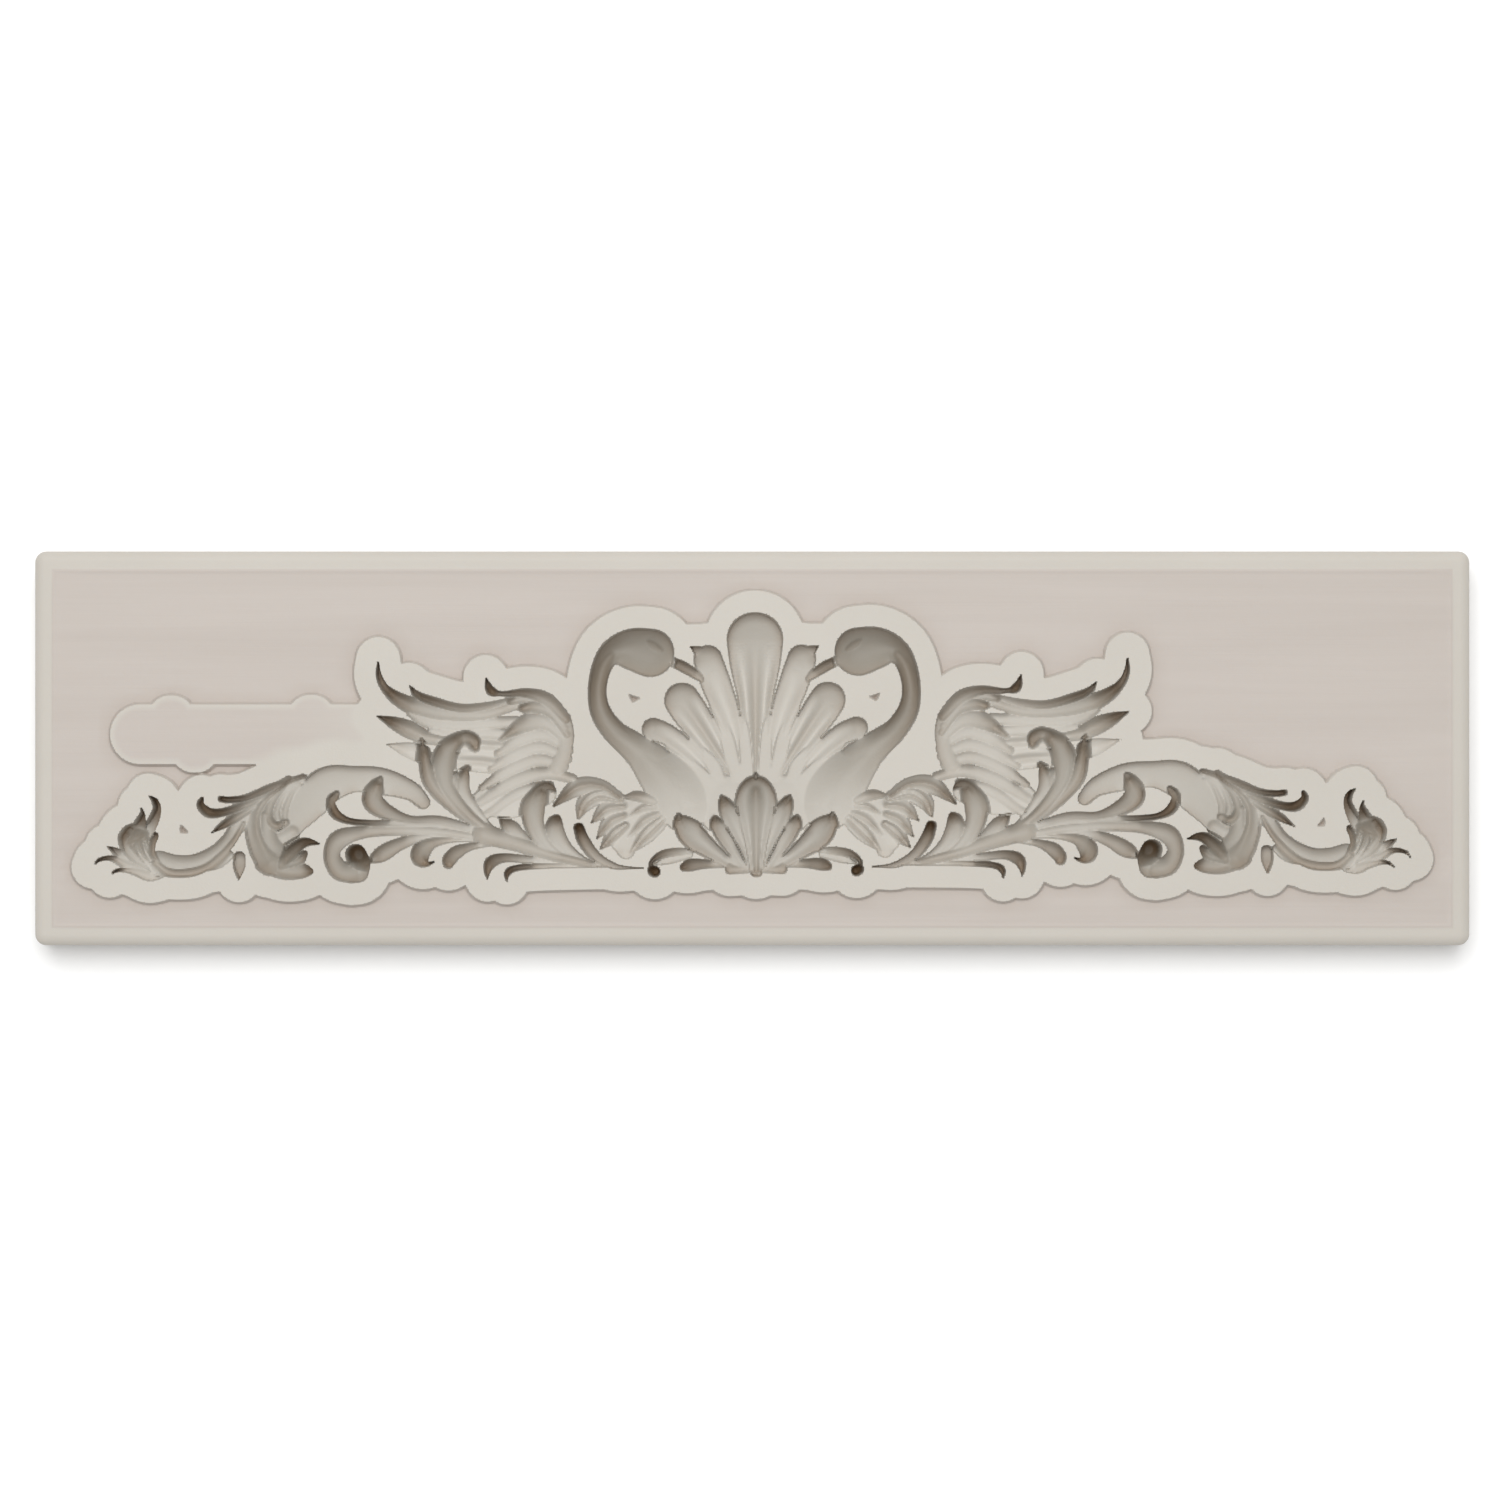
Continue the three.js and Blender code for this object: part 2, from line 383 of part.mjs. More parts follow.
// The outline round a row of sections. A point that falls inside the stroke is left out, so that a
// tight bend doesn't fold over itself.
function outlineOf(row, capSteps) {
  const last = row.length - 1;
  const headings = row.map((_, i) => {
    const before = row[Math.max(i - 1, 0)];
    const after = row[Math.min(i + 1, last)];
    return Math.atan2(after.y - before.y, after.x - before.x);
  });
  const side = (turn) => row
    .map((section, i) => around(section, headings[i] + turn))
    .filter((point) => !row.some((section) => isInside(point, section, SMALLEST_REACH)));
  return [
    ...side(Math.PI / 2),
    ...roundEnd(row[last], headings[last] + Math.PI / 2, capSteps),
    ...side(-Math.PI / 2).reverse(),
    ...roundEnd(row[0], headings[0] - Math.PI / 2, capSteps),
  ];
}

// A rectangle with round corners, centred on the origin, with its edge drawn in by inset
function slabOutline(inset) {
  const right = SLAB_LENGTH / 2 - SLAB_CORNER;
  const back = SLAB_WIDTH / 2 - SLAB_CORNER;
  const radius = SLAB_CORNER - inset;
  const shape = new THREE.Shape();
  shape.absarc(right, back, radius, 0, Math.PI / 2);
  shape.absarc(-right, back, radius, Math.PI / 2, Math.PI);
  shape.absarc(-right, -back, radius, Math.PI, Math.PI * 1.5);
  shape.absarc(right, -back, radius, Math.PI * 1.5, Math.PI * 2);
  return shape;
}

// The slab: a sharp-edged lower part, and on it a top with a rounded edge
function slab() {
  const lower = new THREE.ExtrudeGeometry(slabOutline(0), {
    depth: SLAB_TOP / 2,
    bevelEnabled: false,
    curveSegments: CORNER_STEPS,
  });
  const upper = new THREE.ExtrudeGeometry(slabOutline(EDGE_ROUND_WIDTH), {
    depth: SLAB_TOP - 2 * EDGE_ROUND_DROP - PASS,
    bevelSize: EDGE_ROUND_WIDTH,
    bevelThickness: EDGE_ROUND_DROP,
    bevelSegments: 3,
    curveSegments: CORNER_STEPS,
  });
  upper.translate(0, 0, EDGE_ROUND_DROP + PASS);
  return toSolid(lower).add(toSolid(upper));
}

// The raised border: every stroke made wider, apart from those that the others cover
function border(strokes) {
  const rows = strokes.map(({ points }) => sections(points, BORDER_WIDTH));
  const outlines = rows.map((row) => outlineOf(row, BORDER_CAP_STEPS));
  const isCovered = (point, own) => rows.some((row) => (
    row !== own && row.some((section) => isInside(point, section, COVER_MARGIN))));
  return joined(outlines
    .filter((outline, i) => !outline.every((point) => isCovered(point, rows[i])))
    .map((outline) => prism(outline, SLAB_TOP - PASS, BORDER_TOP)));
}

function cavity(strokes) {
  return joined(strokes.map(({ depth, points }) => (
    prism(outlineOf(sections(points, 0), CAVITY_CAP_STEPS), BORDER_TOP - depth, BORDER_TOP + PASS))));
}

function siliconeMould() {
  const ornament = [...LEFT_HALF, ...LEFT_HALF.map(onTheRight)];
  const solid = slab().add(border([...ornament, ...TAB])).subtract(cavity(ornament));
  const silicone = new THREE.MeshStandardMaterial({ color: 0xcec7bd, roughness: 0.62, metalness: 0 });
  const mesh = new THREE.Mesh(withoutFlatPoints(toGeometry(solid)), silicone);
  mesh.name = 'silicone_mould';
  return mesh;
}

const mould = new THREE.Group();
mould.add(siliconeMould());

export default mould;
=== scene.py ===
"""The looks of a silicone casting mould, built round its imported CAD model.

One closed mesh stands for the CAD node: the slab with its rounded edge, the raised scalloped border and
tab, and the cavity, whose floor is modelled in full. The ornament is drawn as tapered strokes: those of the
CAD source, and four small ones inside them. Each stroke here also says how its floor is shaped. The mould's
sizes are in millimetres until its mesh is made, which is in metres like everything in Blender.
"""
import math

import bmesh
import bpy
import numpy as np
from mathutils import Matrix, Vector


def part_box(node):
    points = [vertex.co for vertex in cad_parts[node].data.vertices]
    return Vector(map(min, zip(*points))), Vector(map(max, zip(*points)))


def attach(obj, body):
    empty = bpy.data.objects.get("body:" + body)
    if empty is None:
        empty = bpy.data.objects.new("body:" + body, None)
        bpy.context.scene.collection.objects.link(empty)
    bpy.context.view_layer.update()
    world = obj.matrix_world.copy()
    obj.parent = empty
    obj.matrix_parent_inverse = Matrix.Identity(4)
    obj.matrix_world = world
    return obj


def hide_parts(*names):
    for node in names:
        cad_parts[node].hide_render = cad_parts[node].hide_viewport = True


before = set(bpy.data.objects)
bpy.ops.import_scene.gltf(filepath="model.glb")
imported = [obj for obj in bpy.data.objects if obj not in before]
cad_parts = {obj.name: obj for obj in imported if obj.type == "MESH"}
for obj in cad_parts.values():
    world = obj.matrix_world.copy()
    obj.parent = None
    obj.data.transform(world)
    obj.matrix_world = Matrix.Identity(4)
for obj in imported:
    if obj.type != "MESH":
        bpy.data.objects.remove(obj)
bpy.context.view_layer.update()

MM = 0.001
NODE = "silicone_mould"
low_corner, high_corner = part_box(NODE)

# Sizes from the frame
SLAB_LENGTH = (high_corner.x - low_corner.x) / MM
SLAB_WIDTH = (high_corner.y - low_corner.y) / MM
BORDER_TOP = high_corner.z / MM
BORDER_HEIGHT = 1
SLAB_TOP = BORDER_TOP - BORDER_HEIGHT

# The slab's edge, and the fine raised line that runs round inside it
SLAB_CORNER = 2
EDGE_ROUND_WIDTH = 1.9
EDGE_ROUND_DROP = 1.4
BACK_ROUND = 0.3
RIM_LINE_IN = 3.5
RIM_LINE_WIDTH = 0.35
RIM_LINE_HEIGHT = 0.1

# The border and the cavity. A stroke is at most NARROW_DEPTH deep where it has no width, and NARROW_GAIN
# deeper for each millimetre of its reach. ROUNDNESS is the power that rounds its floor from side to side.
# Slopes are height over distance.
BORDER_WIDTH = 3.8
BORDER_SLOPE = 2.5
WALL_SLOPE = 12
ROUNDNESS = 2.2
RIDGE_FOOT = 0.35
RIDGE_FADE = 0.35
NARROW_DEPTH = 2.6
NARROW_GAIN = 2.2
DEEPEST = 6.2

# The painted shade in hollows: full where the floor lies HOLLOWEST below the mean height round it, which is
# taken within AROUND_WIDE and then within AROUND_NARROW, and a slight painted shadow on the slab over a set
# width beside the border
HOLLOWEST = 3.2
AROUND_WIDE = 1.2
AROUND_NARROW = 0.8
BORDER_SHADE = 0.13
BORDER_SHADE_WIDTH = 4.5

# The polished look: the border, fading over BORDER_FADE onto the tab, the tab's right end, fading to grey
# at TAB_GREY_END, a band along the tab's edge with its middle POLISH_IN from it, and the slab's round edge,
# partly smoother and partly a painted highlight
POLISH_FADE = 0.9
POLISH_IN = 0.3
BORDER_FADE = 2
TAB_GREY_END = -88
TAB_GREY_FADE = 24
EDGE_POLISH_AND_HIGHLIGHT = 0.9

# The right half mirrors the left across this line, a little shorter and turned a little
MIRROR_X = 0.6
RIGHT_STRETCH = 0.988
RIGHT_TURN = math.radians(0.7)

# How fine the mesh is. Blocks of up to 2 ** BLOCK_LEVELS grid cells on a side are merged where no field
# strays further than its tolerance from them.
GRID_STEP = 0.22
GRID_IN = 5.2
BLOCK_LEVELS = 4
TOLERANCES = {"height": 0.012, "polished": 0.06, "hollow": 0.06}
JOIN_WITHIN = 0.001
SPAN_STEPS = 8
SHARP_ANGLE = math.radians(40)
EDGE_STEPS = 8
CORNER_FAN = 10
SMALLEST_REACH = 0.04
SMALLEST_STEEPNESS = 0.25

# How far past the border each stroke's distance is worked out, and the distance given beyond that
PAST_BORDER = 2
FAR_AWAY = 99.0

# The silicone's colours, milled and smooth, and the painted shade of deep floors and of narrow slots
MILLED_DARK = (0.425, 0.380, 0.342)
MILLED_LIGHT = (0.478, 0.434, 0.396)
SMOOTH_DARK = (0.468, 0.440, 0.392)
SMOOTH_LIGHT = (0.500, 0.472, 0.424)
DEEP_FLOOR_SHADE = (0.150, 0.132, 0.102)
NARROW_SLOT_SHADE = (0.190, 0.098, 0.028)
DEEP_POWER = 1.5
SLOT_SHARE = 0.85

# The silicone's noise: about how many patches it has in a metre along x, y and z
MILLED_STREAKS = (14, 260, 50)
SMOOTH_PATCHES = (45, 60, 50)
MILLED_GRAIN = (25, 1500, 400)
FINE_GRAIN = 2500.0

# The light, in metres and watts, and the floor
LIGHT_PLACE = (-0.06, 0.38, 1.22)
LIGHT_SIZE = 0.8
LIGHT_WATTS = 13.2
WORLD_STRENGTH = 0.59
FLOOR_SIZE = 6
FLOOR_WHITE = (0.93, 0.93, 0.925)

# The camera: its lens in millimetres, and what it sees in metres
LENS = 110
VIEW_WIDTH = 0.267
VIEW_CENTRE_X = -0.0004
VIEW_CENTRE_Y = -0.0003


def stroke(edge, deep, ridges, *points, base=0.4):
    """One tapered hollow. edge is its depth along its sides at the last point, and base times that at
    the first. deep is its depth along its middle at the first and last point, ridges is (how many
    run along its floor, how high they stand), and each point is (x, y, reach)."""
    return {"edge": edge, "deep": deep, "ridges": ridges, "base": base, "points": np.array(points, float)}


# The left half of the ornament, from the middle outwards

SHELL = {
    "centre": stroke(2.4, (1.4, 3.2), (2, 1.2), (0.6, -8, 1.1), (0.6, -4, 1.4), (0.6, 0, 2),
        (0.6, 5, 2.6), (0.6, 10, 3.3), (0.6, 15, 4.4), (0.6, 19.3, 4.95), base=0.3),
    "lobe_1": stroke(2, (1.3, 2.8), (1, 0.9), (-1.4, -8, 0.9), (-2.2, -3, 1.2), (-3.1, 2, 1.6),
        (-4.3, 6, 2.15), (-5.8, 9.8, 2.6), (-6.9, 12.8, 2.7), (-7.9, 15.8, 2.6), base=0.4),
    "lobe_1_corner": stroke(2.2, (2.4, 2.4), (0, 0), (-7.6, 15.6, 2), (-9.3, 17.1, 1.1),
        (-11.1, 18.15, 0.08), base=1),
    "lobe_2": stroke(2, (1.3, 2.8), (2, 0.9), (-2.2, -8, 0.9), (-4.4, -3.5, 1.6), (-6.7, 0, 2.2),
        (-9.3, 3.9, 2.9), (-11.2, 6.6, 3.2), (-12.5, 8.5, 3.2), base=0.4),
    "lobe_3": stroke(1.9, (1.3, 2.6), (1, 0.8), (-4.6, -9, 0.9), (-6, -7, 1), (-7.7, -4.4, 1.15),
        (-10.1, -1.7, 1.4), (-12.8, 0.8, 1.75), (-15.3, 2.5, 1.95), (-17.6, 3.35, 2.1), base=0.45),
    "foot": stroke(1.1, (1.4, 1.4), (0, 0), (-2, -8, 2.6), (-4.8, -8.4, 3.2), (-6.2, -12, 3), base=1),
    "between_1": stroke(0.8, (1.2, 0.6), (0, 0), (-0.7, -8, 1), (-1, -3, 1), (-1.3, 1, 0.9),
        (-1.6, 4, 0.7), (-2.1, 6.9, 0.1), base=1.6),
    "between_2": stroke(0.8, (1.2, 0.6), (0, 0), (-2, -8, 1), (-3.6, -2, 1.1), (-4.6, 2, 1.1),
        (-6.2, 5.8, 0.9), (-7.4, 8, 0.4), (-8, 8.8, 0.15), base=1.6),
    "between_3": stroke(0.8, (1.2, 0.6), (0, 0), (-3.6, -8, 1), (-5.8, -5.5, 1), (-7, -3, 1.1),
        (-9.2, -0.4, 0.7), (-10.8, 1.3, 0.4), (-11.3, 1.8, 0.15), base=1.6),
    "between_4": stroke(0.8, (1.2, 0.6), (0, 0), (-6.8, -8.4, 1.6), (-8.6, -5.4, 1.2), (-12, -2.1, 1),
        (-14, -0.5, 0.8), (-15.4, 0.7, 0.35), base=1.6),
}

SWAN = {
    "neck": stroke(1.6, (4.8, 3.4), (0, 0), (-18.2, 17, 4.35), (-21, 17.6, 3.8), (-23.7, 17.6, 2.7),
        (-25.9, 16.2, 2), (-27.2, 13.2, 1.75), (-27.6, 9.6, 1.7), (-26.9, 6.3, 1.9), (-24.7, 3.1, 2.1),
        (-21.6, 0.6, 2.6), (-18, -2.2, 3.3), base=1.6),
    "neck_deep": stroke(3.2, (5, 3), (0, 0), (-22.5, 17.6, 0.4), (-24.8, 17, 1), (-26.4, 15.2, 1.2),
        (-27.3, 12.4, 1.3), (-27.5, 9.4, 1.3), (-26.7, 6.2, 1.4), (-24.8, 3.5, 1.3), (-21.8, 1, 1),
        (-18.5, -1.5, 0.5), base=1.2),
    "body": stroke(1.1, (3.6, 2), (0, 0), (-20.5, -0.4, 2.4), (-17.6, -3.2, 3.6), (-15, -6, 4.6),
        (-13.2, -8.6, 5.1), (-12, -10.6, 4.4), base=1),
    "beak": stroke(2.4, (3.2, 2.8), (0, 0), (-14.4, 15.5, 0.9), (-12.2, 14.45, 1), (-10.2, 13.2, 0.85),
        (-9.2, 12.3, 0.5), base=1),
}

BREAST_FEATHERS = {
    "feather_1": stroke(1.4, (2.6, 3.2), (1, 0.42), (-17.5, -9.4, 1.2), (-20.4, -8.6, 1),
        (-23.4, -8.7, 0.15)),
    "feather_2": stroke(1, (1.8, 2.1), (2, 0.42), (-16.8, -10.5, 1.4), (-19.5, -10.6, 1.3),
        (-22.4, -12.4, 0.2)),
    "feather_3": stroke(1, (1.8, 2.1), (2, 0.42), (-16.6, -11.6, 1.4), (-19.4, -13, 1.4),
        (-22.2, -15.9, 0.2)),
    "feather_4": stroke(1, (1.8, 2.2), (3, 0.42), (-16, -12.6, 1.4), (-18.8, -15.2, 1.7),
        (-21.8, -18.7, 0.2)),
}

TAIL_FEATHERS = {
    "feather_1": stroke(1.2, (2, 2.6), (3, 0.42), (-23.5, -9.2, 1.2), (-27.2, -8.3, 1.7),
        (-29.8, -9.8, 1.5), (-31, -12.4, 0.3)),
    "feather_2": stroke(1.2, (2, 2.5), (2, 0.42), (-22.9, -10.4, 1.2), (-26, -10.9, 1.5),
        (-28.7, -13.3, 0.15)),
    "feather_3": stroke(1.2, (2, 2.5), (2, 0.42), (-22.8, -12, 1.2), (-25.3, -13.2, 1.5),
        (-27.7, -16.1, 0.15)),
    "feather_4": stroke(1.4, (2, 2.7), (3, 0.42), (-22.6, -13.8, 1.2), (-24.5, -15.3, 1.6),
        (-27.1, -18, 0.15)),
    "top": stroke(1.6, (2.4, 3.4), (2, 0.42), (-23.7, -8.8, 1), (-27.2, -6.7, 1.3), (-31.2, -7, 1.6),
        (-35.3, -10.2, 0.3)),
    "ground": stroke(0.7, (1.1, 1.1), (0, 0), (-20.5, -10, 2.5), (-23, -14, 3.2), (-22.5, -18.2, 1.6)),
}

WING_FEATHERS = {
    "feather_edge": stroke(1.8, (2.2, 2.2), (0, 0), (-37, 8.4, 1.2), (-34.2, 5.8, 1.5),
        (-33.2, 2.6, 1.5), (-33.5, -0.6, 1.3), (-34.8, -3.4, 1.3), base=1),
    "feather_1": stroke(2.6, (3.6, 5.4), (1, 0.42), (-33.4, 5.2, 1.2), (-36.6, 8.3, 1.6),
        (-40.2, 9.7, 1.05), (-44.6, 9.7, 0.5), (-46.6, 10.3, 0.85), (-47.5, 12.7, 0.08)),
    "feather_2": stroke(2.2, (3, 3.4), (1, 0.34), (-33.3, 3.6, 1), (-37, 7.6, 1.2), (-40.4, 8.9, 1),
        (-43.2, 8.3, 0.5)),
    "feather_3": stroke(2.2, (3, 4), (1, 0.34), (-33, 2.4, 1), (-36, 6.5, 1.3), (-39, 7.5, 1.2),
        (-41, 7.1, 0.7)),
    "feather_4": stroke(1.9, (2.6, 4), (1, 0.42), (-32.9, 1, 1), (-36.8, 4.6, 1.7), (-40.8, 4.2, 1.6),
        (-44.7, 1.7, 0.15)),
    "feather_5": stroke(1.2, (2.3, 2), (1, 0.42), (-32.8, -0.4, 1), (-37, 2.4, 1.5), (-41, 1.7, 1.5),
        (-45.2, -0.9, 0.6)),
    "feather_6": stroke(1.1, (2.2, 1.8), (1, 0.42), (-33, -1.8, 1), (-37.6, 0.2, 1.4),
        (-42, -1.1, 1.5), (-46.5, -3.6, 0.5)),
    "feather_7": stroke(1.1, (2.2, 1.7), (1, 0.42), (-33.6, -3.2, 1), (-38, -2, 1.3),
        (-42.5, -3.5, 1.4), (-48.2, -7, 0.6)),
    "feather_8": stroke(1.1, (2.2, 1.7), (1, 0.42), (-32, -5.4, 0.9), (-37, -4.4, 1.2),
        (-42.5, -6, 1.4), (-48.4, -9.6, 0.8)),
    "feather_9": stroke(1, (2, 1.5), (1, 0.34), (-36, -6.6, 0.8), (-41.5, -8, 1.3),
        (-47.2, -11.8, 0.8)),
}

WING_QUILLS = {
    "long_1": stroke(2.3, (2.4, 6), (1, 0.34), (-42.6, 7.6, 0.9), (-48, 6.1, 1.2), (-54, 6.2, 1.5),
        (-59, 7.1, 1.7), (-62.6, 8.5, 1.35), (-65.3, 10.6, 0.8), (-66.5, 13, 0.55),
        (-66.6, 15.9, 0.08)),
    "long_2": stroke(2.1, (2.2, 5.4), (1, 0), (-42.6, 8.6, 0.6), (-47, 7.4, 0.9), (-52, 7, 1),
        (-57, 8.3, 1), (-59.7, 9.5, 0.75), (-61.1, 11.3, 0.08)),
    "long_3": stroke(1.5, (1.9, 2.6), (1, 0.42), (-42, 4.8, 1), (-48, 4.4, 1.3), (-54, 4.4, 1.5),
        (-58.3, 5.1, 1.3), (-61, 6.2, 0.6)),
    "long_4": stroke(1.2, (1.7, 1.9), (1, 0.42), (-42.2, 2.4, 1), (-48, 2.8, 1.1), (-53, 2.6, 1.2),
        (-57, 3.2, 0.9)),
    "under_1": stroke(2.1, (2.3, 4.6), (1, 0), (-54.5, 1.3, 0.8), (-58.2, 2, 1.3), (-61.2, 3.4, 1.6),
        (-64, 4.6, 1.1), (-66.9, 5.8, 0.08)),
    "under_2": stroke(0.5, (0.9, 0.9), (0, 0), (-58.8, -1, 1.7), (-61.2, -0.3, 1.4),
        (-65.2, 0.75, 0.08)),
    "ground_1": stroke(0.8, (1.3, 1.3), (2, 0.51), (-42.5, 0.4, 1.6), (-47, 0.5, 1.9),
        (-53.5, 1.1, 1.5)),
    "ground_2": stroke(0.8, (1.3, 1.3), (2, 0.51), (-43.5, -3.2, 1.6), (-48, -2.4, 2),
        (-53, -2.2, 1.6)),
    "ground_3": stroke(0.7, (1.1, 1.1), (0, 0), (-37, -8, 2.2), (-43, -9.5, 3), (-47.6, -9.5, 2.4)),
    "ground_4": stroke(1.2, (1.8, 1.8), (0, 0), (-38, 6.2, 1.4), (-41.6, 7.8, 1.1),
        (-44, 6.9, 0.8), base=1),
}

PALMETTE = {
    "centre": stroke(5, (3, 6.2), (2, 0.6), (0.6, -22, 1), (0.6, -17, 1.8), (0.6, -13, 2.8),
        (0.6, -10, 3.5), (0.6, -8, 2.8), (0.6, -6.4, 1), (0.6, -4.5, 0.08), base=0.5),
    "leaf_1": stroke(4.4, (2.6, 5.2), (1, 0.51), (-0.3, -21, 0.7), (-1.4, -17.5, 1.1),
        (-2.9, -14, 1.6), (-4.1, -11.6, 1.5), (-4.8, -10.1, 1), (-5.5, -8.5, 0.08), base=0.5),
    "leaf_2": stroke(4.2, (2.6, 4.8), (1, 0.42), (-1.4, -21.3, 0.7), (-3.2, -18.6, 1.1),
        (-4.9, -16, 1.4), (-6, -14.3, 1.3), (-6.5, -13.2, 0.8), (-6.75, -12.1, 0.08), base=0.5),
    "leaf_3": stroke(4.4, (2.6, 5.2), (1, 0.51), (-2.8, -21.3, 0.9), (-5.6, -19.4, 1.3),
        (-8.4, -17.4, 1.9), (-10.6, -15.6, 2.4), (-12, -14.2, 1.9), (-12.9, -13, 0.9),
        (-13.2, -11.6, 0.08), base=0.5),
    "foot": stroke(2.2, (2.6, 2.6), (0, 0), (-0.8, -21.6, 0.7), (-3.9, -21.5, 1)),
    "side": stroke(2.2, (3, 3.6), (1, 0.42), (-4.2, -20.8, 0.5), (-8.5, -20.6, 0.9),
        (-11, -20.8, 1.15), (-12.2, -21.2, 0.75)),
    "curl": stroke(2.4, (1.8, 4.6), (0, 0), (-9.8, -18.3, 0.3), (-13, -18.4, 0.75), (-16, -18.9, 0.75),
        (-17.9, -20.2, 0.45), (-18, -21.2, 0.5)),
    "curl_leaf": stroke(1.2, (1.7, 1.7), (1, 0.34), (-11, -19, 0.5), (-14.5, -19.7, 0.9),
        (-17.2, -20.6, 0.3)),
    "curl_ball": stroke(4.6, (5.8, 5.8), (0, 0), (-17.7, -21.8, 1), (-17.35, -22, 1.05)),
}

INNER_LEAF = {
    "lobe_1": stroke(3, (1.6, 5), (1, 0.51), (-18.6, -21.3, 0.14), (-21.5, -21.3, 0.25),
        (-24.5, -21, 0.6), (-27.8, -19.3, 0.95), (-30, -16.5, 1.15), (-30.9, -14.2, 1), base=0.3),
    "lobe_2": stroke(2.6, (1.8, 4), (1, 0.51), (-26, -21, 0.3), (-30, -20.1, 0.8), (-33.4, -17.8, 1.4),
        (-35.1, -15.2, 1.8), (-35.2, -13.5, 1.5), (-34.8, -12.5, 0.8)),
    "lobe_3": stroke(3.4, (2.6, 4.8), (1, 0.59), (-28, -20.9, 0.4), (-34, -19.4, 0.9),
        (-37.4, -16.6, 1.4), (-38.9, -13.4, 1.85), (-39, -10.8, 2.1), (-38.2, -8.7, 1.5),
        (-37.4, -7.6, 0.8)),
    "lobe_3_tip": stroke(3.8, (4.8, 6.2), (0, 0), (-39.4, -9.4, 0.5), (-38.2, -7.7, 0.7),
        (-36.6, -6.8, 0.5), (-34.9, -7.5, 0.08), base=1),
    "lobe_4": stroke(2.2, (1.8, 3.6), (1, 0.42), (-33, -20.4, 0.4), (-38, -18.4, 0.8),
        (-41, -16.2, 1.3), (-43, -14.2, 1.45), (-44.2, -13.3, 0.8), (-45.1, -12.5, 0.1)),
    "lobe_5": stroke(2.6, (1.5, 4.6), (1, 0.34), (-31, -20.6, 0.4), (-39, -19.9, 0.7),
        (-44, -19.5, 0.85), (-46.5, -20.3, 1.1), (-47.2, -22, 0.6), (-47.1, -23.4, 0.08), base=0.3),
    "lobe_6": stroke(2.6, (1.4, 4.6), (0, 0), (-28, -20.9, 0.4), (-37, -21, 0.5), (-41.8, -21.3, 0.6),
        (-43.6, -22.2, 0.6), (-43.7, -23.9, 0.08), base=0.3),
    "stem": stroke(1.9, (3, 3), (1, 0.34), (-27, -20.9, 0.4), (-35, -19.2, 1.1), (-42, -16.9, 1.5),
        (-48, -15.2, 1.9)),
}

RISING_LEAF = {
    "lobe_1": stroke(4, (3.6, 5.8), (1, 0.55), (-45, -16, 0.4), (-50.5, -12, 1), (-54.4, -7.2, 1.6),
        (-55.2, -3.2, 2.1), (-54.6, -0.6, 1.9), (-53.2, 1, 1.2), (-51.5, 1.9, 0.8), (-49.9, 1.4, 0.8),
        (-49.4, 0.2, 0.35)),
    "lobe_1_tip": stroke(3.8, (4.6, 6), (0, 0), (-52.4, 1.5, 0.6), (-51.2, 2, 0.7), (-49.9, 1.4, 0.75),
        (-49.4, 0.2, 0.35), base=1),
    "lobe_2": stroke(3.6, (2.6, 5), (1, 0), (-46, -15.8, 0.4), (-52.6, -11.2, 0.9), (-57, -6.4, 1.4),
        (-58.3, -2.6, 1.15), (-58.7, 0, 0.65), (-59.1, 1.9, 0.08)),
    "lobe_3": stroke(2.6, (1.8, 4.2), (1, 0.42), (-44.2, -16, 0.4), (-47.5, -13.4, 0.8),
        (-50, -10.6, 1.1), (-51.6, -7.5, 1.4), (-51.5, -5.2, 1.2), (-50.8, -3.6, 0.3)),
    "lobe_4": stroke(2.2, (1.8, 3.4), (1, 0), (-45.5, -15.6, 0.4), (-50, -12.2, 0.9), (-53, -8.8, 1.3),
        (-53.4, -6.2, 1.2), (-52.8, -4.6, 0.6)),
}

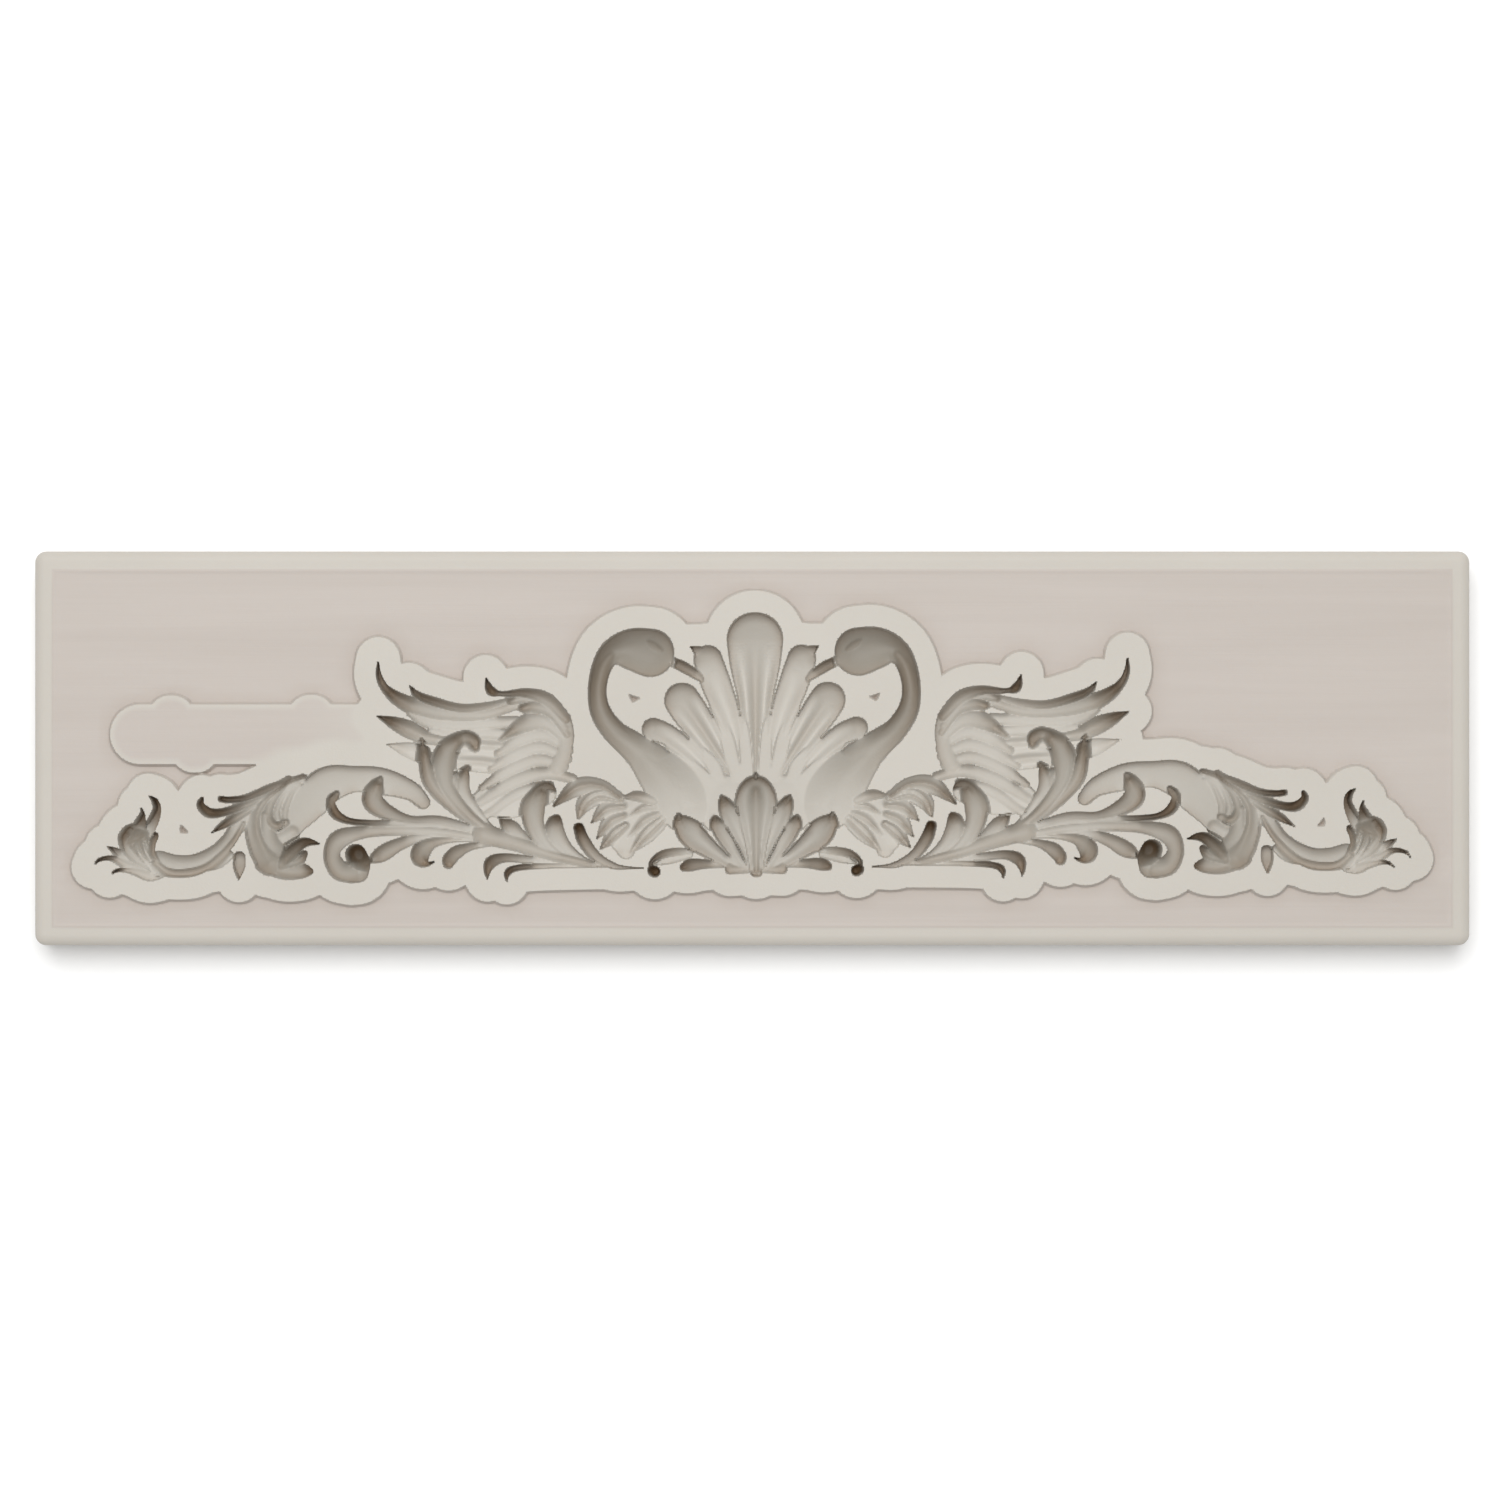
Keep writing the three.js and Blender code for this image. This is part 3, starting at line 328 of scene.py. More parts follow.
OUTER_LEAF = {
    "lobe_1": stroke(3.4, (2.4, 5), (1, 0.51), (-46, -15.6, 0.5), (-55, -13, 0.9), (-61, -12.7, 0.8),
        (-65.4, -11.2, 1.5), (-67.6, -9.3, 1.9), (-67.3, -7.2, 1.3), (-66.25, -5.2, 0.08)),
    "lobe_2": stroke(4, (1.6, 5.4), (0, 0), (-46, -15.9, 0.5), (-54, -13.9, 1), (-62, -13.4, 0.75),
        (-68, -13.3, 0.6), (-72, -12.9, 0.65), (-74.3, -11.6, 0.95), (-75, -9.6, 0.75),
        (-74.2, -8.1, 0.3), base=0.25),
    "lobe_3": stroke(2.4, (2.4, 3.6), (1, 0.34), (-47, -16.2, 0.5), (-55, -15, 1), (-62, -14.6, 1),
        (-69, -14.9, 1.15), (-73.5, -16.2, 1.7), (-74.9, -19, 1.5), (-73.6, -21.6, 1.8),
        (-71.3, -22.3, 1.8)),
    "volute_eye": stroke(2, (6.6, 3.4), (0, 0), (-70.6, -18.9, 1.9), (-70.1, -20.4, 2.1),
        (-70.4, -21.8, 2.2), base=2),
    "lobe_4": stroke(2.2, (2.4, 3.2), (1, 0.34), (-50, -15.8, 0.4), (-58, -15.7, 0.8),
        (-62.6, -17, 1.15), (-65.9, -18.8, 1.45), (-68.3, -20.2, 0.4)),
    "lobe_5": stroke(3, (1.8, 4.8), (0, 0), (-46, -16.4, 0.4), (-53, -16.3, 0.5), (-57, -16.9, 1),
        (-58.9, -18.3, 1.7), (-59.1, -19.6, 1.5), (-58, -20.6, 0.55), (-56.2, -20, 0.08), base=0.3),
    "lobe_6": stroke(2.2, (1.8, 3.2), (1, 0), (-45, -16.8, 0.4), (-50, -17.5, 0.7),
        (-52.6, -18.5, 1.2), (-53.9, -19.8, 1.25), (-54.1, -20.5, 1)),
}

SCROLL = {
    "scroll": stroke(1.8, (2, 2.5), (0, 0), (-58.6, -9.6, 1.3), (-61, -7.5, 1.8), (-66, -5.9, 2.45),
        (-71, -5.5, 2.4), (-75.6, -6.5, 3.3), (-78.8, -9.6, 3.2), (-81.4, -12.8, 2.4),
        (-82.4, -15, 1.6), base=1),
}

SCROLL_WRAP = {
    "ground": stroke(1.8, (2, 2), (0, 0), (-81.6, -6.6, 1.1), (-84.3, -10, 1.9),
        (-84.6, -12.4, 1.3), base=1),
    "lobe_1": stroke(2.6, (2.4, 3.2), (0, 0), (-79.6, -5, 0.4), (-82, -7.8, 0.7), (-83.3, -10.8, 0.6),
        (-83.4, -12.6, 0.4)),
    "lobe_1_beside": stroke(2.6, (2.4, 3.4), (0, 0), (-80.6, -5.1, 0.4), (-83.5, -8.2, 0.6),
        (-84.8, -11, 0.6), (-84.7, -12.8, 0.5)),
    "lobe_2": stroke(3.4, (2.6, 5), (0, 0), (-81.6, -5.3, 0.4), (-85.3, -8.6, 0.9),
        (-86.5, -11.4, 0.9), (-86.1, -13.3, 1), (-84.8, -13.9, 0.8), (-83.4, -13.3, 0.4)),
    "fold": stroke(1.4, (2.4, 3), (1, 0), (-86.4, -17, 1.2), (-84, -16, 1.7),
        (-82.1, -14.8, 1.75), base=0.8),
    "lobe_3": stroke(2.6, (3.2, 4.4), (2, 0.51), (-82.5, -5.6, 0.8), (-87.6, -10, 1.7),
        (-88.6, -14, 1.8), (-87.4, -17.8, 2.3), (-85.8, -20.2, 2.6)),
    "lobe_4": stroke(2.6, (4, 4.4), (1, 0.51), (-87, -12, 1.2), (-86.4, -16, 2), (-85, -19, 2.2),
        (-84, -20.6, 1.6)),
    "lobe_5": stroke(3.2, (5.2, 4.6), (0, 0), (-84.3, -20.7, 0.9), (-82.7, -19, 1.35),
        (-80.9, -17.3, 1.15), (-79.2, -16.7, 0.8), (-76.8, -17.1, 0.08), base=1.2),
    "lobe_6": stroke(2.6, (4.2, 3.8), (1, 0.51), (-87, -20.6, 1.6), (-83.4, -21.8, 1.6),
        (-80.6, -21.8, 1.5), (-78.8, -21.9, 0.7)),
    "lobe_7": stroke(2.6, (4.2, 4), (1, 0), (-84, -21.2, 1), (-81.2, -20.1, 1.3), (-79.8, -18.8, 0.7)),
}

SPRAYS = {
    "outer_1": stroke(2.9, (3.2, 4.6), (0, 0), (-80, -5, 0.5), (-85.5, -7, 0.8), (-90, -8.8, 0.7),
        (-93, -9.2, 0.65), (-94.6, -9.05, 0.6)),
    "outer_2": stroke(2.9, (3.2, 5.6), (1, 0), (-84, -7.2, 0.6), (-90, -10, 0.9), (-94, -11.35, 0.8),
        (-96.7, -11.5, 0.95), (-98.2, -10.2, 0.75), (-98, -9, 0.4)),
    "outer_3": stroke(2.6, (3, 4.6), (1, 0), (-85, -8, 0.6), (-90.5, -11.4, 0.9), (-93.6, -13.3, 0.8),
        (-96.5, -15.2, 0.08)),
    "stem": stroke(1.5, (2.2, 2.4), (0, 0), (-85.5, -8.6, 1), (-88.9, -11, 1.5), (-91.6, -13.9, 1.35),
        (-93.4, -16.6, 1.35), (-95.8, -19, 1.6), (-99.3, -20.8, 1.95), (-102.8, -21, 2.1),
        (-105.6, -20.4, 2.2), base=1),
    "stem_deep": stroke(2.9, (3.3, 3.3), (0, 0), (-90.8, -13.3, 0.15), (-92.5, -16.6, 0.45),
        (-94.8, -19.3, 0.6), (-97.6, -21.4, 0.6), (-101, -22.3, 0.6), (-104.2, -22.1, 0.5),
        (-106.6, -20.4, 0.3), base=0.9),
    "stem_leaf": stroke(1, (1.5, 1.5), (1, 0.3), (-98, -21.4, 0.7), (-95.2, -20.5, 1),
        (-93.2, -19, 0.9)),
    "bud": stroke(2, (2.4, 3.2), (1, 0.34), (-91.3, -19.4, 1.1), (-91.35, -20.7, 1.15),
        (-91.4, -22, 0.75), (-91.4, -23.5, 0.08), base=0.9),
}

END_LEAF = {
    "fan": stroke(2.4, (1.9, 4.8), (4, 0.9), (-106, -22.4, 1.1), (-108.6, -19, 2.2),
        (-110, -16.2, 2.9), base=0.5),
    "lobe_1": stroke(5.2, (2.4, 6.6), (1, 0.51), (-105.6, -22, 0.5), (-108, -18.5, 0.9),
        (-108, -15.5, 1.2), (-106.7, -13, 1.05), (-106, -10.9, 0.8), (-106.4, -9.4, 0.6),
        (-107.5, -8.4, 0.08), base=0.3),
    "lobe_2": stroke(5, (2.4, 6.4), (1, 0.51), (-105.6, -22, 0.5), (-109.5, -18.5, 1),
        (-109.9, -15.5, 1.25), (-108.9, -13, 0.95), (-108.6, -11.5, 0.4),
        (-109, -10.3, 0.08), base=0.3),
    "lobe_3": stroke(4.2, (2.4, 5.2), (1, 0.51), (-105.8, -22.2, 0.5), (-110.5, -19, 1),
        (-111.9, -16.2, 1.1), (-111.4, -14.8, 0.7), base=0.3),
    "lobe_4": stroke(2.4, (1.6, 3.6), (1, 0.42), (-106.4, -22.4, 0.5), (-110.5, -20.3, 1),
        (-113, -18.6, 0.8), (-114.9, -17.4, 0.08)),
    "lobe_5": stroke(2.6, (1.5, 4.4), (0, 0), (-106.5, -22.4, 0.6), (-111, -20.9, 0.9),
        (-114, -19.6, 0.55), (-116.3, -19.9, 0.35), (-117.3, -21.1, 0.08)),
    "lobe_6": stroke(2.4, (1.4, 3.8), (0, 0), (-105.6, -22.3, 1), (-107.4, -22.6, 1.1),
        (-109.6, -22, 0.8), (-111.5, -21.7, 0.5), (-113.2, -21.8, 0.35), (-114.4, -22.7, 0.08)),
    "lobe_7": stroke(3.2, (3.8, 5.2), (1, 0), (-105.4, -21.2, 0.5), (-107, -18.8, 0.8),
        (-107, -16.9, 0.85), (-106.4, -15.6, 0.75)),
}

# Fine lines on the head, as (height, points): the eye is sunk into the floor, and a ridge stands up
# at the root of the beak
HEAD_LINES = [
    (-0.3, np.array([(-18.6, 19.1, 0.05), (-17.9, 18.6, 0.3), (-17, 18, 0.3), (-16.2, 17.5, 0.05)])),
    (1.2, np.array([(-13.8, 16.4, 0.1), (-13.9, 15.4, 0.1), (-14.2, 14.3, 0.1)])),
]

# The middle lines of the blank tab left of the wing, and of the bumps on its edge
TAB = [
    np.array([(-109, 2.5, 1.5), (-66, 2.5, 1.5)]),
    np.array([(-103.7, 5.5, 0.1), (-103.2, 5.5, 0.1)]),
    np.array([(-78.8, 5.6, 0.1), (-78.2, 5.6, 0.1)]),
    np.array([(-99.5, -0.4, 0.1), (-98.9, -0.4, 0.1)]),
]

# How steeply the floor rises beside a stroke that runs into a shallower one, for each group
SOFT_STEP = 2.2
FIRM_STEP = 4.5
CRISP_STEP = 9
GROUPS = [
    (SHELL, SOFT_STEP), (SWAN, SOFT_STEP), (BREAST_FEATHERS, SOFT_STEP), (TAIL_FEATHERS, SOFT_STEP),
    (WING_FEATHERS, SOFT_STEP), (WING_QUILLS, SOFT_STEP), (PALMETTE, CRISP_STEP), (INNER_LEAF, FIRM_STEP),
    (RISING_LEAF, FIRM_STEP), (OUTER_LEAF, FIRM_STEP), (SCROLL, FIRM_STEP), (SCROLL_WRAP, SOFT_STEP),
    (SPRAYS, SOFT_STEP), (END_LEAF, FIRM_STEP),
]


def on_the_right(points):
    """The same points on the other side of the mirror line."""
    x = (MIRROR_X - points[:, 0]) * RIGHT_STRETCH
    y = points[:, 1]
    turned_x = x * math.cos(RIGHT_TURN) - y * math.sin(RIGHT_TURN)
    turned_y = x * math.sin(RIGHT_TURN) + y * math.cos(RIGHT_TURN)
    return np.column_stack([MIRROR_X + turned_x, turned_y, points[:, 2]])


def smooth_line(points):
    """Catmull-Rom curve through the points, as many (x, y, reach) rows."""
    padded = np.vstack([2 * points[0] - points[1], points, 2 * points[-1] - points[-2]])
    t = np.linspace(0, 1, SPAN_STEPS, endpoint=False)[:, None]
    spans = [
        (2 * b + (c - a) * t + (2 * a - 5 * b + 4 * c - d) * t**2 + (3 * b - a - 3 * c + d) * t**3) / 2
        for a, b, c, d in zip(padded, padded[1:], padded[2:], padded[3:])
    ]
    line = np.vstack([*spans, points[-1:]])
    line[:, 2] = np.maximum(line[:, 2], SMALLEST_REACH)
    return line


def nearest_on(line, x, y):
    """For each place: how far it is outside the stroke's edge, its share of the way along, its share
    of the way across (-1 to 1 inside), and the stroke's reach there."""
    steps = np.diff(line, axis=0)
    lengths = np.hypot(steps[:, 0], steps[:, 1])
    run = np.concatenate([[0], np.cumsum(lengths)])
    outside = np.full(x.shape, np.inf)
    along = np.zeros(x.shape)
    across = np.zeros(x.shape)
    reach = np.ones(x.shape)
    for start, step, length, done in zip(line, steps, lengths, run):
        from_x = x - start[0]
        from_y = y - start[1]
        share = np.clip((from_x * step[0] + from_y * step[1]) / length**2, 0, 1)
        off_x = from_x - share * step[0]
        off_y = from_y - share * step[1]
        distance = np.hypot(off_x, off_y)
        width = start[2] + share * step[2]
        closer = distance - width < outside
        outside = np.where(closer, distance - width, outside)
        along = np.where(closer, (done + share * length) / run[-1], along)
        side = np.sign(step[0] * off_y - step[1] * off_x)
        across = np.where(closer, side * distance / width, across)
        reach = np.where(closer, width, reach)
    return outside, along, across, reach


def floor_depth(one, slope, gap, along, across, reach):
    """Depth of a stroke's floor: rounded across, deepest at its far end, lifted where its ridges run,
    and rising by slope outside it. A narrow stroke can't be deep."""
    start, end = one["deep"]
    ridges, ridge_height = one["ridges"]
    across = np.clip(across, -1, 1)
    fullness = np.clip(reach, 0, 1)
    far = along**2
    limit = NARROW_DEPTH + reach * NARROW_GAIN
    edge = np.minimum(one["edge"] * (one["base"] + (1 - one["base"]) * far), limit)
    middle = np.minimum(start + (end - start) * far, limit)
    depth = edge + np.maximum(middle - edge, 0) * (1 - np.abs(across) ** ROUNDNESS) * fullness
    if ridges:
        wave = (1 - np.cos(math.pi * ridges * (across + 1))) / 2
        fading = np.clip((along - 1) / RIDGE_FADE + 1, 0, 1)
        depth = depth - ridge_height * fullness * wave * (1 - fading**2)
    return np.where(gap < 0, depth, edge - gap * slope)


def window(line, margin, xs, ys):
    """The part of the grid within a margin of a stroke, as slices of rows and columns."""
    grow = line[:, 2].max() + margin
    columns = np.searchsorted(xs, [line[:, 0].min() - grow, line[:, 0].max() + grow])
    rows = np.searchsorted(ys, [line[:, 1].min() - grow, line[:, 1].max() + grow])
    return slice(*rows), slice(*columns)


def both_halves(points):
    """The smooth line through the points, and the one on the other side of the mirror line."""
    return smooth_line(points), smooth_line(on_the_right(points))


def sculpt(x, y, xs, ys):
    """Depth of the cavity's floor below the border's top, and distance outside the ornament and outside
    the ornament with the tab, on a grid."""
    floor = np.full(x.shape, -FAR_AWAY)
    outside = np.full(x.shape, FAR_AWAY)
    outside_tab = np.full(x.shape, FAR_AWAY)
    strokes = [(one, slope) for group, slope in GROUPS for one in group.values()]
    for one, slope in strokes:
        for line in both_halves(one["points"]):
            part = window(line, BORDER_WIDTH + PAST_BORDER, xs, ys)
            gap, along, across, reach = nearest_on(line, x[part], y[part])
            floor[part] = np.maximum(floor[part], floor_depth(one, slope, gap, along, across, reach))
            outside[part] = np.minimum(outside[part], gap)
    for points in TAB:
        line = smooth_line(points)
        part = window(line, BORDER_WIDTH + PAST_BORDER, xs, ys)
        gap = nearest_on(line, x[part], y[part])[0]
        outside_tab[part] = np.minimum(outside_tab[part], gap)
    for height, points in HEAD_LINES:
        for line in both_halves(points):
            part = window(line, RIDGE_FOOT, xs, ys)
            gap = nearest_on(line, x[part], y[part])[0]
            floor[part] -= height * np.clip(1 - gap / RIDGE_FOOT, 0, 1)
    return floor, outside, np.minimum(outside, outside_tab)


def snap_shift(distance, level, step):
    """How far in x and y to move the grid points that are nearly on a level line of a distance field
    onto that line, and which points those are."""
    slope_y, slope_x = np.gradient(distance, step)
    steepness = np.maximum(slope_x**2 + slope_y**2, SMALLEST_STEEPNESS)
    near = np.abs(distance - level) < 0.5 * step
    shift = np.where(near, (level - distance) / steepness, 0)
    return shift * slope_x, shift * slope_y, near


def box_blur(field, cells):
    """Mean over a square of 2 * cells + 1 grid points."""
    for axis in (0, 1):
        pad = [(0, 0), (0, 0)]
        pad[axis] = (cells + 1, cells)
        total = np.cumsum(np.pad(field, pad, mode="edge"), axis=axis)
        size = field.shape[axis]
        width = 2 * cells + 1
        upper = np.take(total, range(width, width + size), axis=axis)
        lower = np.take(total, range(size), axis=axis)
        field = (upper - lower) / width
    return field


def top_surface(xs, ys, step):
    """The mould's top on a grid: places, heights, how polished it is (0 on the milled slab), how deep
    (1 at DEEPEST) and how hollow (1 in the bottom of a narrow slot), which set the painted shade; hollow
    also holds a slight painted shadow on the slab beside the border."""
    x, y = np.meshgrid(xs, ys)
    floor, outside, border_outside = sculpt(x, y, xs, ys)
    rim_x, rim_y, on_rim = snap_shift(outside, 0, step)
    side_x, side_y, on_side = snap_shift(border_outside, BORDER_WIDTH, step)
    rise = np.clip((BORDER_WIDTH - border_outside) * BORDER_SLOPE + BORDER_HEIGHT, 0, BORDER_HEIGHT)
    depth = np.clip(np.minimum(floor, -outside * WALL_SLOPE), 0, DEEPEST)
    depth[on_rim] = 0
    rise[on_side] = BORDER_HEIGHT
    height = SLAB_TOP + rise - depth
    # How far each place lies below the mean height round it, for the painted shade in narrow slots
    around = box_blur(box_blur(height, round(AROUND_WIDE / step)), round(AROUND_NARROW / step))
    sunk = np.clip((around - height) / HOLLOWEST, 0, 1)
    # A slight painted shadow on the slab beside the raised border, fading out away from it
    beside = np.clip(1 - (border_outside - BORDER_WIDTH) / BORDER_SHADE_WIDTH, 0, 1) ** 2
    on_border = np.clip((BORDER_WIDTH - outside) / BORDER_FADE + 1, 0, 1)
    on_tab = np.clip((x - TAB_GREY_END) / TAB_GREY_FADE, 0, 1) ** 2
    tab_edge = np.clip(1 - np.abs(border_outside - BORDER_WIDTH + POLISH_IN) / POLISH_FADE, 0, 1)
    polished = np.maximum.reduce([on_border, on_tab, tab_edge])
    return {
        "x": x + rim_x + side_x,
        "y": y + rim_y + side_y,
        "height": height,
        "polished": polished * rise / BORDER_HEIGHT,
        # deep and hollow only set how much shade is painted into the colour
        "deep": depth / DEEPEST,
        "hollow": np.maximum(sunk, np.where(rise > 0, 0, BORDER_SHADE * beside)),
    }


def bend(values):
    """How much a grid's values bend at each cell, as their second difference."""
    padded = np.pad(values, 1, mode="edge")
    middle = padded[1:-1, 1:-1]
    along = np.abs(padded[1:-1, :-2] + padded[1:-1, 2:] - 2 * middle)
    across = np.abs(padded[:-2, 1:-1] + padded[2:, 1:-1] - 2 * middle)
    skew = np.abs(padded[:-2, :-2] + padded[2:, 2:] - padded[:-2, 2:] - padded[2:, :-2]) / 4
    points = np.maximum(np.maximum(along, across), skew)
    return np.maximum.reduce([points[:-1, :-1], points[:-1, 1:], points[1:, :-1], points[1:, 1:]])


def most_of_four(field):
    """The largest value in each two by two cells of a grid."""
    rows, columns = field.shape
    return np.max(field.reshape(rows // 2, 2, columns // 2, 2), axis=(1, 3))


def level_blocks(fields):
    """Tile the grid's cells with square blocks, as large as each field's tolerance lets them be. Gives
    (row, column, size) for every block. Across a block a curve strays from its chord by up to an eighth
    of its bend times the square of the block's size."""
    bends = [(bend(values), tolerance) for values, tolerance in fields]
    level = [np.ones(bends[0][0].shape, bool)]
    for power in range(1, BLOCK_LEVELS + 1):
        bends = [(most_of_four(most), tolerance) for most, tolerance in bends]
        level.append(np.all([most * 4**power / 8 <= tolerance for most, tolerance in bends], axis=0))
    taken = np.zeros(level[-1].shape, bool)
    blocks = []
    for power in range(BLOCK_LEVELS, -1, -1):
        chosen = level[power] & ~taken
        size = 2**power
        blocks += [(row * size, column * size, size) for row, column in zip(*np.nonzero(chosen))]
        taken = np.repeat(np.repeat(taken | chosen, 2, axis=0), 2, axis=1)
    return blocks


def round_block(row, column, tall, wide, used):
    """The used grid points on a block's edge, anticlockwise, as (rows, columns)."""
    up = np.arange(tall)
    across = np.arange(wide)
    rows = np.concatenate([np.full(wide, row), row + up, np.full(wide, row + tall), row + tall - up])
    columns = np.concatenate([
        column + across, np.full(tall, column + wide), column + wide - across, np.full(tall, column),
    ])
    keep = used[rows, columns]
    return rows[keep], columns[keep]


def edge_profile():
    """(distance in from the slab's edge, height, how polished) from the flat top round to the back."""
    rim_line = [
        (RIM_LINE_IN + RIM_LINE_WIDTH * k, SLAB_TOP + RIM_LINE_HEIGHT * math.exp(-(k**2)))
        for k in (2, 1.2, 0.6, 0, -0.6, -1.2, -2)
    ]
    rounded = [
        (EDGE_ROUND_WIDTH * (1 - math.sin(a)), SLAB_TOP - EDGE_ROUND_DROP * (1 - math.cos(a)))
        for a in np.linspace(0, math.pi / 2, EDGE_STEPS + 1)
    ]
    side = [(0, SLAB_TOP / 2), (0, BACK_ROUND), (BACK_ROUND, 0)]
    # The slab's round edge takes the lighter polished colour, partly for its smoother surface and partly as
    # a painted highlight
    polish_from = RIM_LINE_IN - RIM_LINE_WIDTH
    return [
        (inset, height, EDGE_POLISH_AND_HIGHLIGHT if inset < polish_from else 0)
        for inset, height in [(GRID_IN, SLAB_TOP), *rim_line, *rounded, *side]
    ]


def corner_fan(x, y, inset):
    """Points round the slab's corner nearest to (x, y), anticlockwise, at a distance in from its edge."""
    centre_x = math.copysign(SLAB_LENGTH / 2 - max(SLAB_CORNER, inset), x)
    centre_y = math.copysign(SLAB_WIDTH / 2 - max(SLAB_CORNER, inset), y)
    radius = max(SLAB_CORNER - inset, 0)
    first = math.atan2(y, x) // (math.pi / 2) * (math.pi / 2)
    return [
        (centre_x + radius * math.cos(angle), centre_y + radius * math.sin(angle))
        for angle in np.linspace(first, first + math.pi / 2, CORNER_FAN + 1)
    ]


def edge_ring(loop, inset, height, polish):
    """Rows of points round the slab at a distance in from its edge, one for each point of the grid's
    edge, and a fan of them for each corner."""
    half_length = SLAB_LENGTH / 2
    half_width = SLAB_WIDTH / 2
    ring = []
    for x, y in loop:
        at_end = math.isclose(abs(x), half_length - GRID_IN)
        at_side = math.isclose(abs(y), half_width - GRID_IN)
        if at_end and at_side:
            ring += corner_fan(x, y, inset)
        elif at_end:
            ring.append((math.copysign(half_length - inset, x), y))
        else:
            ring.append((x, math.copysign(half_width - inset, y)))
    return [(*place, height, polish, 0, 0) for place in ring]


def grid_lines():
    """The x and the y of the grid's lines, so many that whole blocks fill the grid."""
    largest = 2**BLOCK_LEVELS
    lines = []
    for side in (SLAB_LENGTH, SLAB_WIDTH):
        half = side / 2 - GRID_IN
        count = round(2 * half / GRID_STEP / largest) * largest + 1
        lines.append(np.linspace(-half, half, count))
    return lines


def used_points(blocks, shape):
    """Which of the grid's points are a corner of a block."""
    used = np.zeros(shape, bool)
    for row, column, size in blocks:
        used[row, column] = used[row, column + size] = True
        used[row + size, column] = used[row + size, column + size] = True
    return used


def top_faces(table, blocks, used):
    """Points and faces for the top. A block with more than its four corners on its edge, because
    smaller blocks touch it, becomes a fan round its middle."""
    number = (np.cumsum(used) - 1).reshape(used.shape)
    points = table[used].tolist()
    faces = []
    for row, column, size in blocks:
        around = number[round_block(row, column, size, size, used)]
        if len(around) == 4:
            faces.append(around)
            continue
        middle = len(points)
        points.append(table[row + size // 2, column + size // 2].tolist())
        faces += [(a, b, middle) for a, b in zip(around, np.roll(around, -1))]
    return points, faces


def edge_faces(xs, ys, used, first):
    """Points and faces from the grid's edge round to the back: a band between each ring and the next,
    and a fan round the middle of the back. The points are numbered from first."""
    loop_rows, loop_columns = round_block(0, 0, len(ys) - 1, len(xs) - 1, used)
    loop = list(zip(xs[loop_columns], ys[loop_rows]))
    rings = [edge_ring(loop, *step) for step in edge_profile()]
    count = len(rings[0])
    last = first + (len(rings) - 1) * count
    faces = []
    for a in range(first, last, count):
        for k in range(count):
            after = (k + 1) % count
            faces.append((a + k, a + k + count, a + after + count, a + after))
    middle = last + count
    faces += [(last + k, middle, last + (k + 1) % count) for k in range(count)]
    points = [point for ring in rings for point in ring]
    points.append((0, 0, 0, 0, 0, 0))
    return points, faces


def joined_mesh(points, faces):
    """A mesh from rows of (x, y, height, polished, deep, hollow). The last three become attributes of
    the points, and points that fall together are joined."""
    points = np.array(points)
    places = (points[:, :3] * MM).tolist()
    corners = [[int(corner) for corner in face] for face in faces]
    mesh = bpy.data.meshes.new("mould_body")
    mesh.from_pydata(places, [], corners)
    for name, values in zip(("polished", "deep", "hollow"), points[:, 3:].T):
        attribute = mesh.attributes.new(name, "FLOAT", "POINT")
        attribute.data.foreach_set("value", values.astype(np.float32))
    joined = bmesh.new()
    joined.from_mesh(mesh)
    bmesh.ops.remove_doubles(joined, verts=joined.verts, dist=JOIN_WITHIN * MM)
    joined.to_mesh(mesh)
    joined.free()
    return mesh


def mould_mesh():
    """The whole closed body: blocks of a grid for the top, rings round the edge, and a fan for the
    back."""
    xs, ys = grid_lines()
    surface = top_surface(xs, ys, xs[1] - xs[0])
    blocks = level_blocks([(surface[name], tolerance) for name, tolerance in TOLERANCES.items()])
    used = used_points(blocks, (len(ys), len(xs)))
    points, faces = top_faces(np.dstack(list(surface.values())), blocks, used)
    edge_points, more_faces = edge_faces(xs, ys, used, len(points))
    return joined_mesh(points + edge_points, faces + more_faces)


def build_mould():
    """The mould's one piece, smooth except where its faces meet at a sharp angle."""
    mesh = mould_mesh()
    piece = bpy.data.objects.new("mould_body", mesh)
    bpy.context.scene.collection.objects.link(piece)
    mesh.shade_smooth()
    mesh.set_sharp_from_angle(angle=SHARP_ANGLE)
    weighted = piece.modifiers.new("weighted_normal", "WEIGHTED_NORMAL")
    weighted.mode = "FACE_AREA"
    weighted.keep_sharp = True
    bpy.context.view_layer.objects.active = piece
    bpy.ops.object.modifier_apply(modifier=weighted.name)
    return piece


def new_material(name):
    """A material that uses nodes, with its nodes and its links."""
    material = bpy.data.materials.new(name)
    material.use_nodes = True
    return material, material.node_tree.nodes, material.node_tree.links


def node(nodes, kind, **values):
    """A new node. Each value goes to the input of that name, or to the node's own setting."""
    made = nodes.new(kind)
    for name, value in values.items():
        if name in made.inputs:
            made.inputs[name].default_value = value
        else:
            setattr(made, name, value)
    return made


def blend(nodes, links, factor, first, second):
    """A colour node between two colours or sockets."""
    mixed = node(nodes, "ShaderNodeMix", data_type="RGBA")
    links.new(factor, mixed.inputs["Factor"])
    for socket, colour in ((mixed.inputs["A"], first), (mixed.inputs["B"], second)):
        if isinstance(colour, tuple):
            socket.default_value = (*colour, 1)
        else:
            links.new(colour, socket)
    return mixed.outputs["Result"]


def reshaped(nodes, links, value, operation, by):
    """A value after one step of arithmetic."""
    made = node(nodes, "ShaderNodeMath", operation=operation)
    links.new(value, made.inputs[0])
    made.inputs[1].default_value = by
    return made.outputs["Value"]


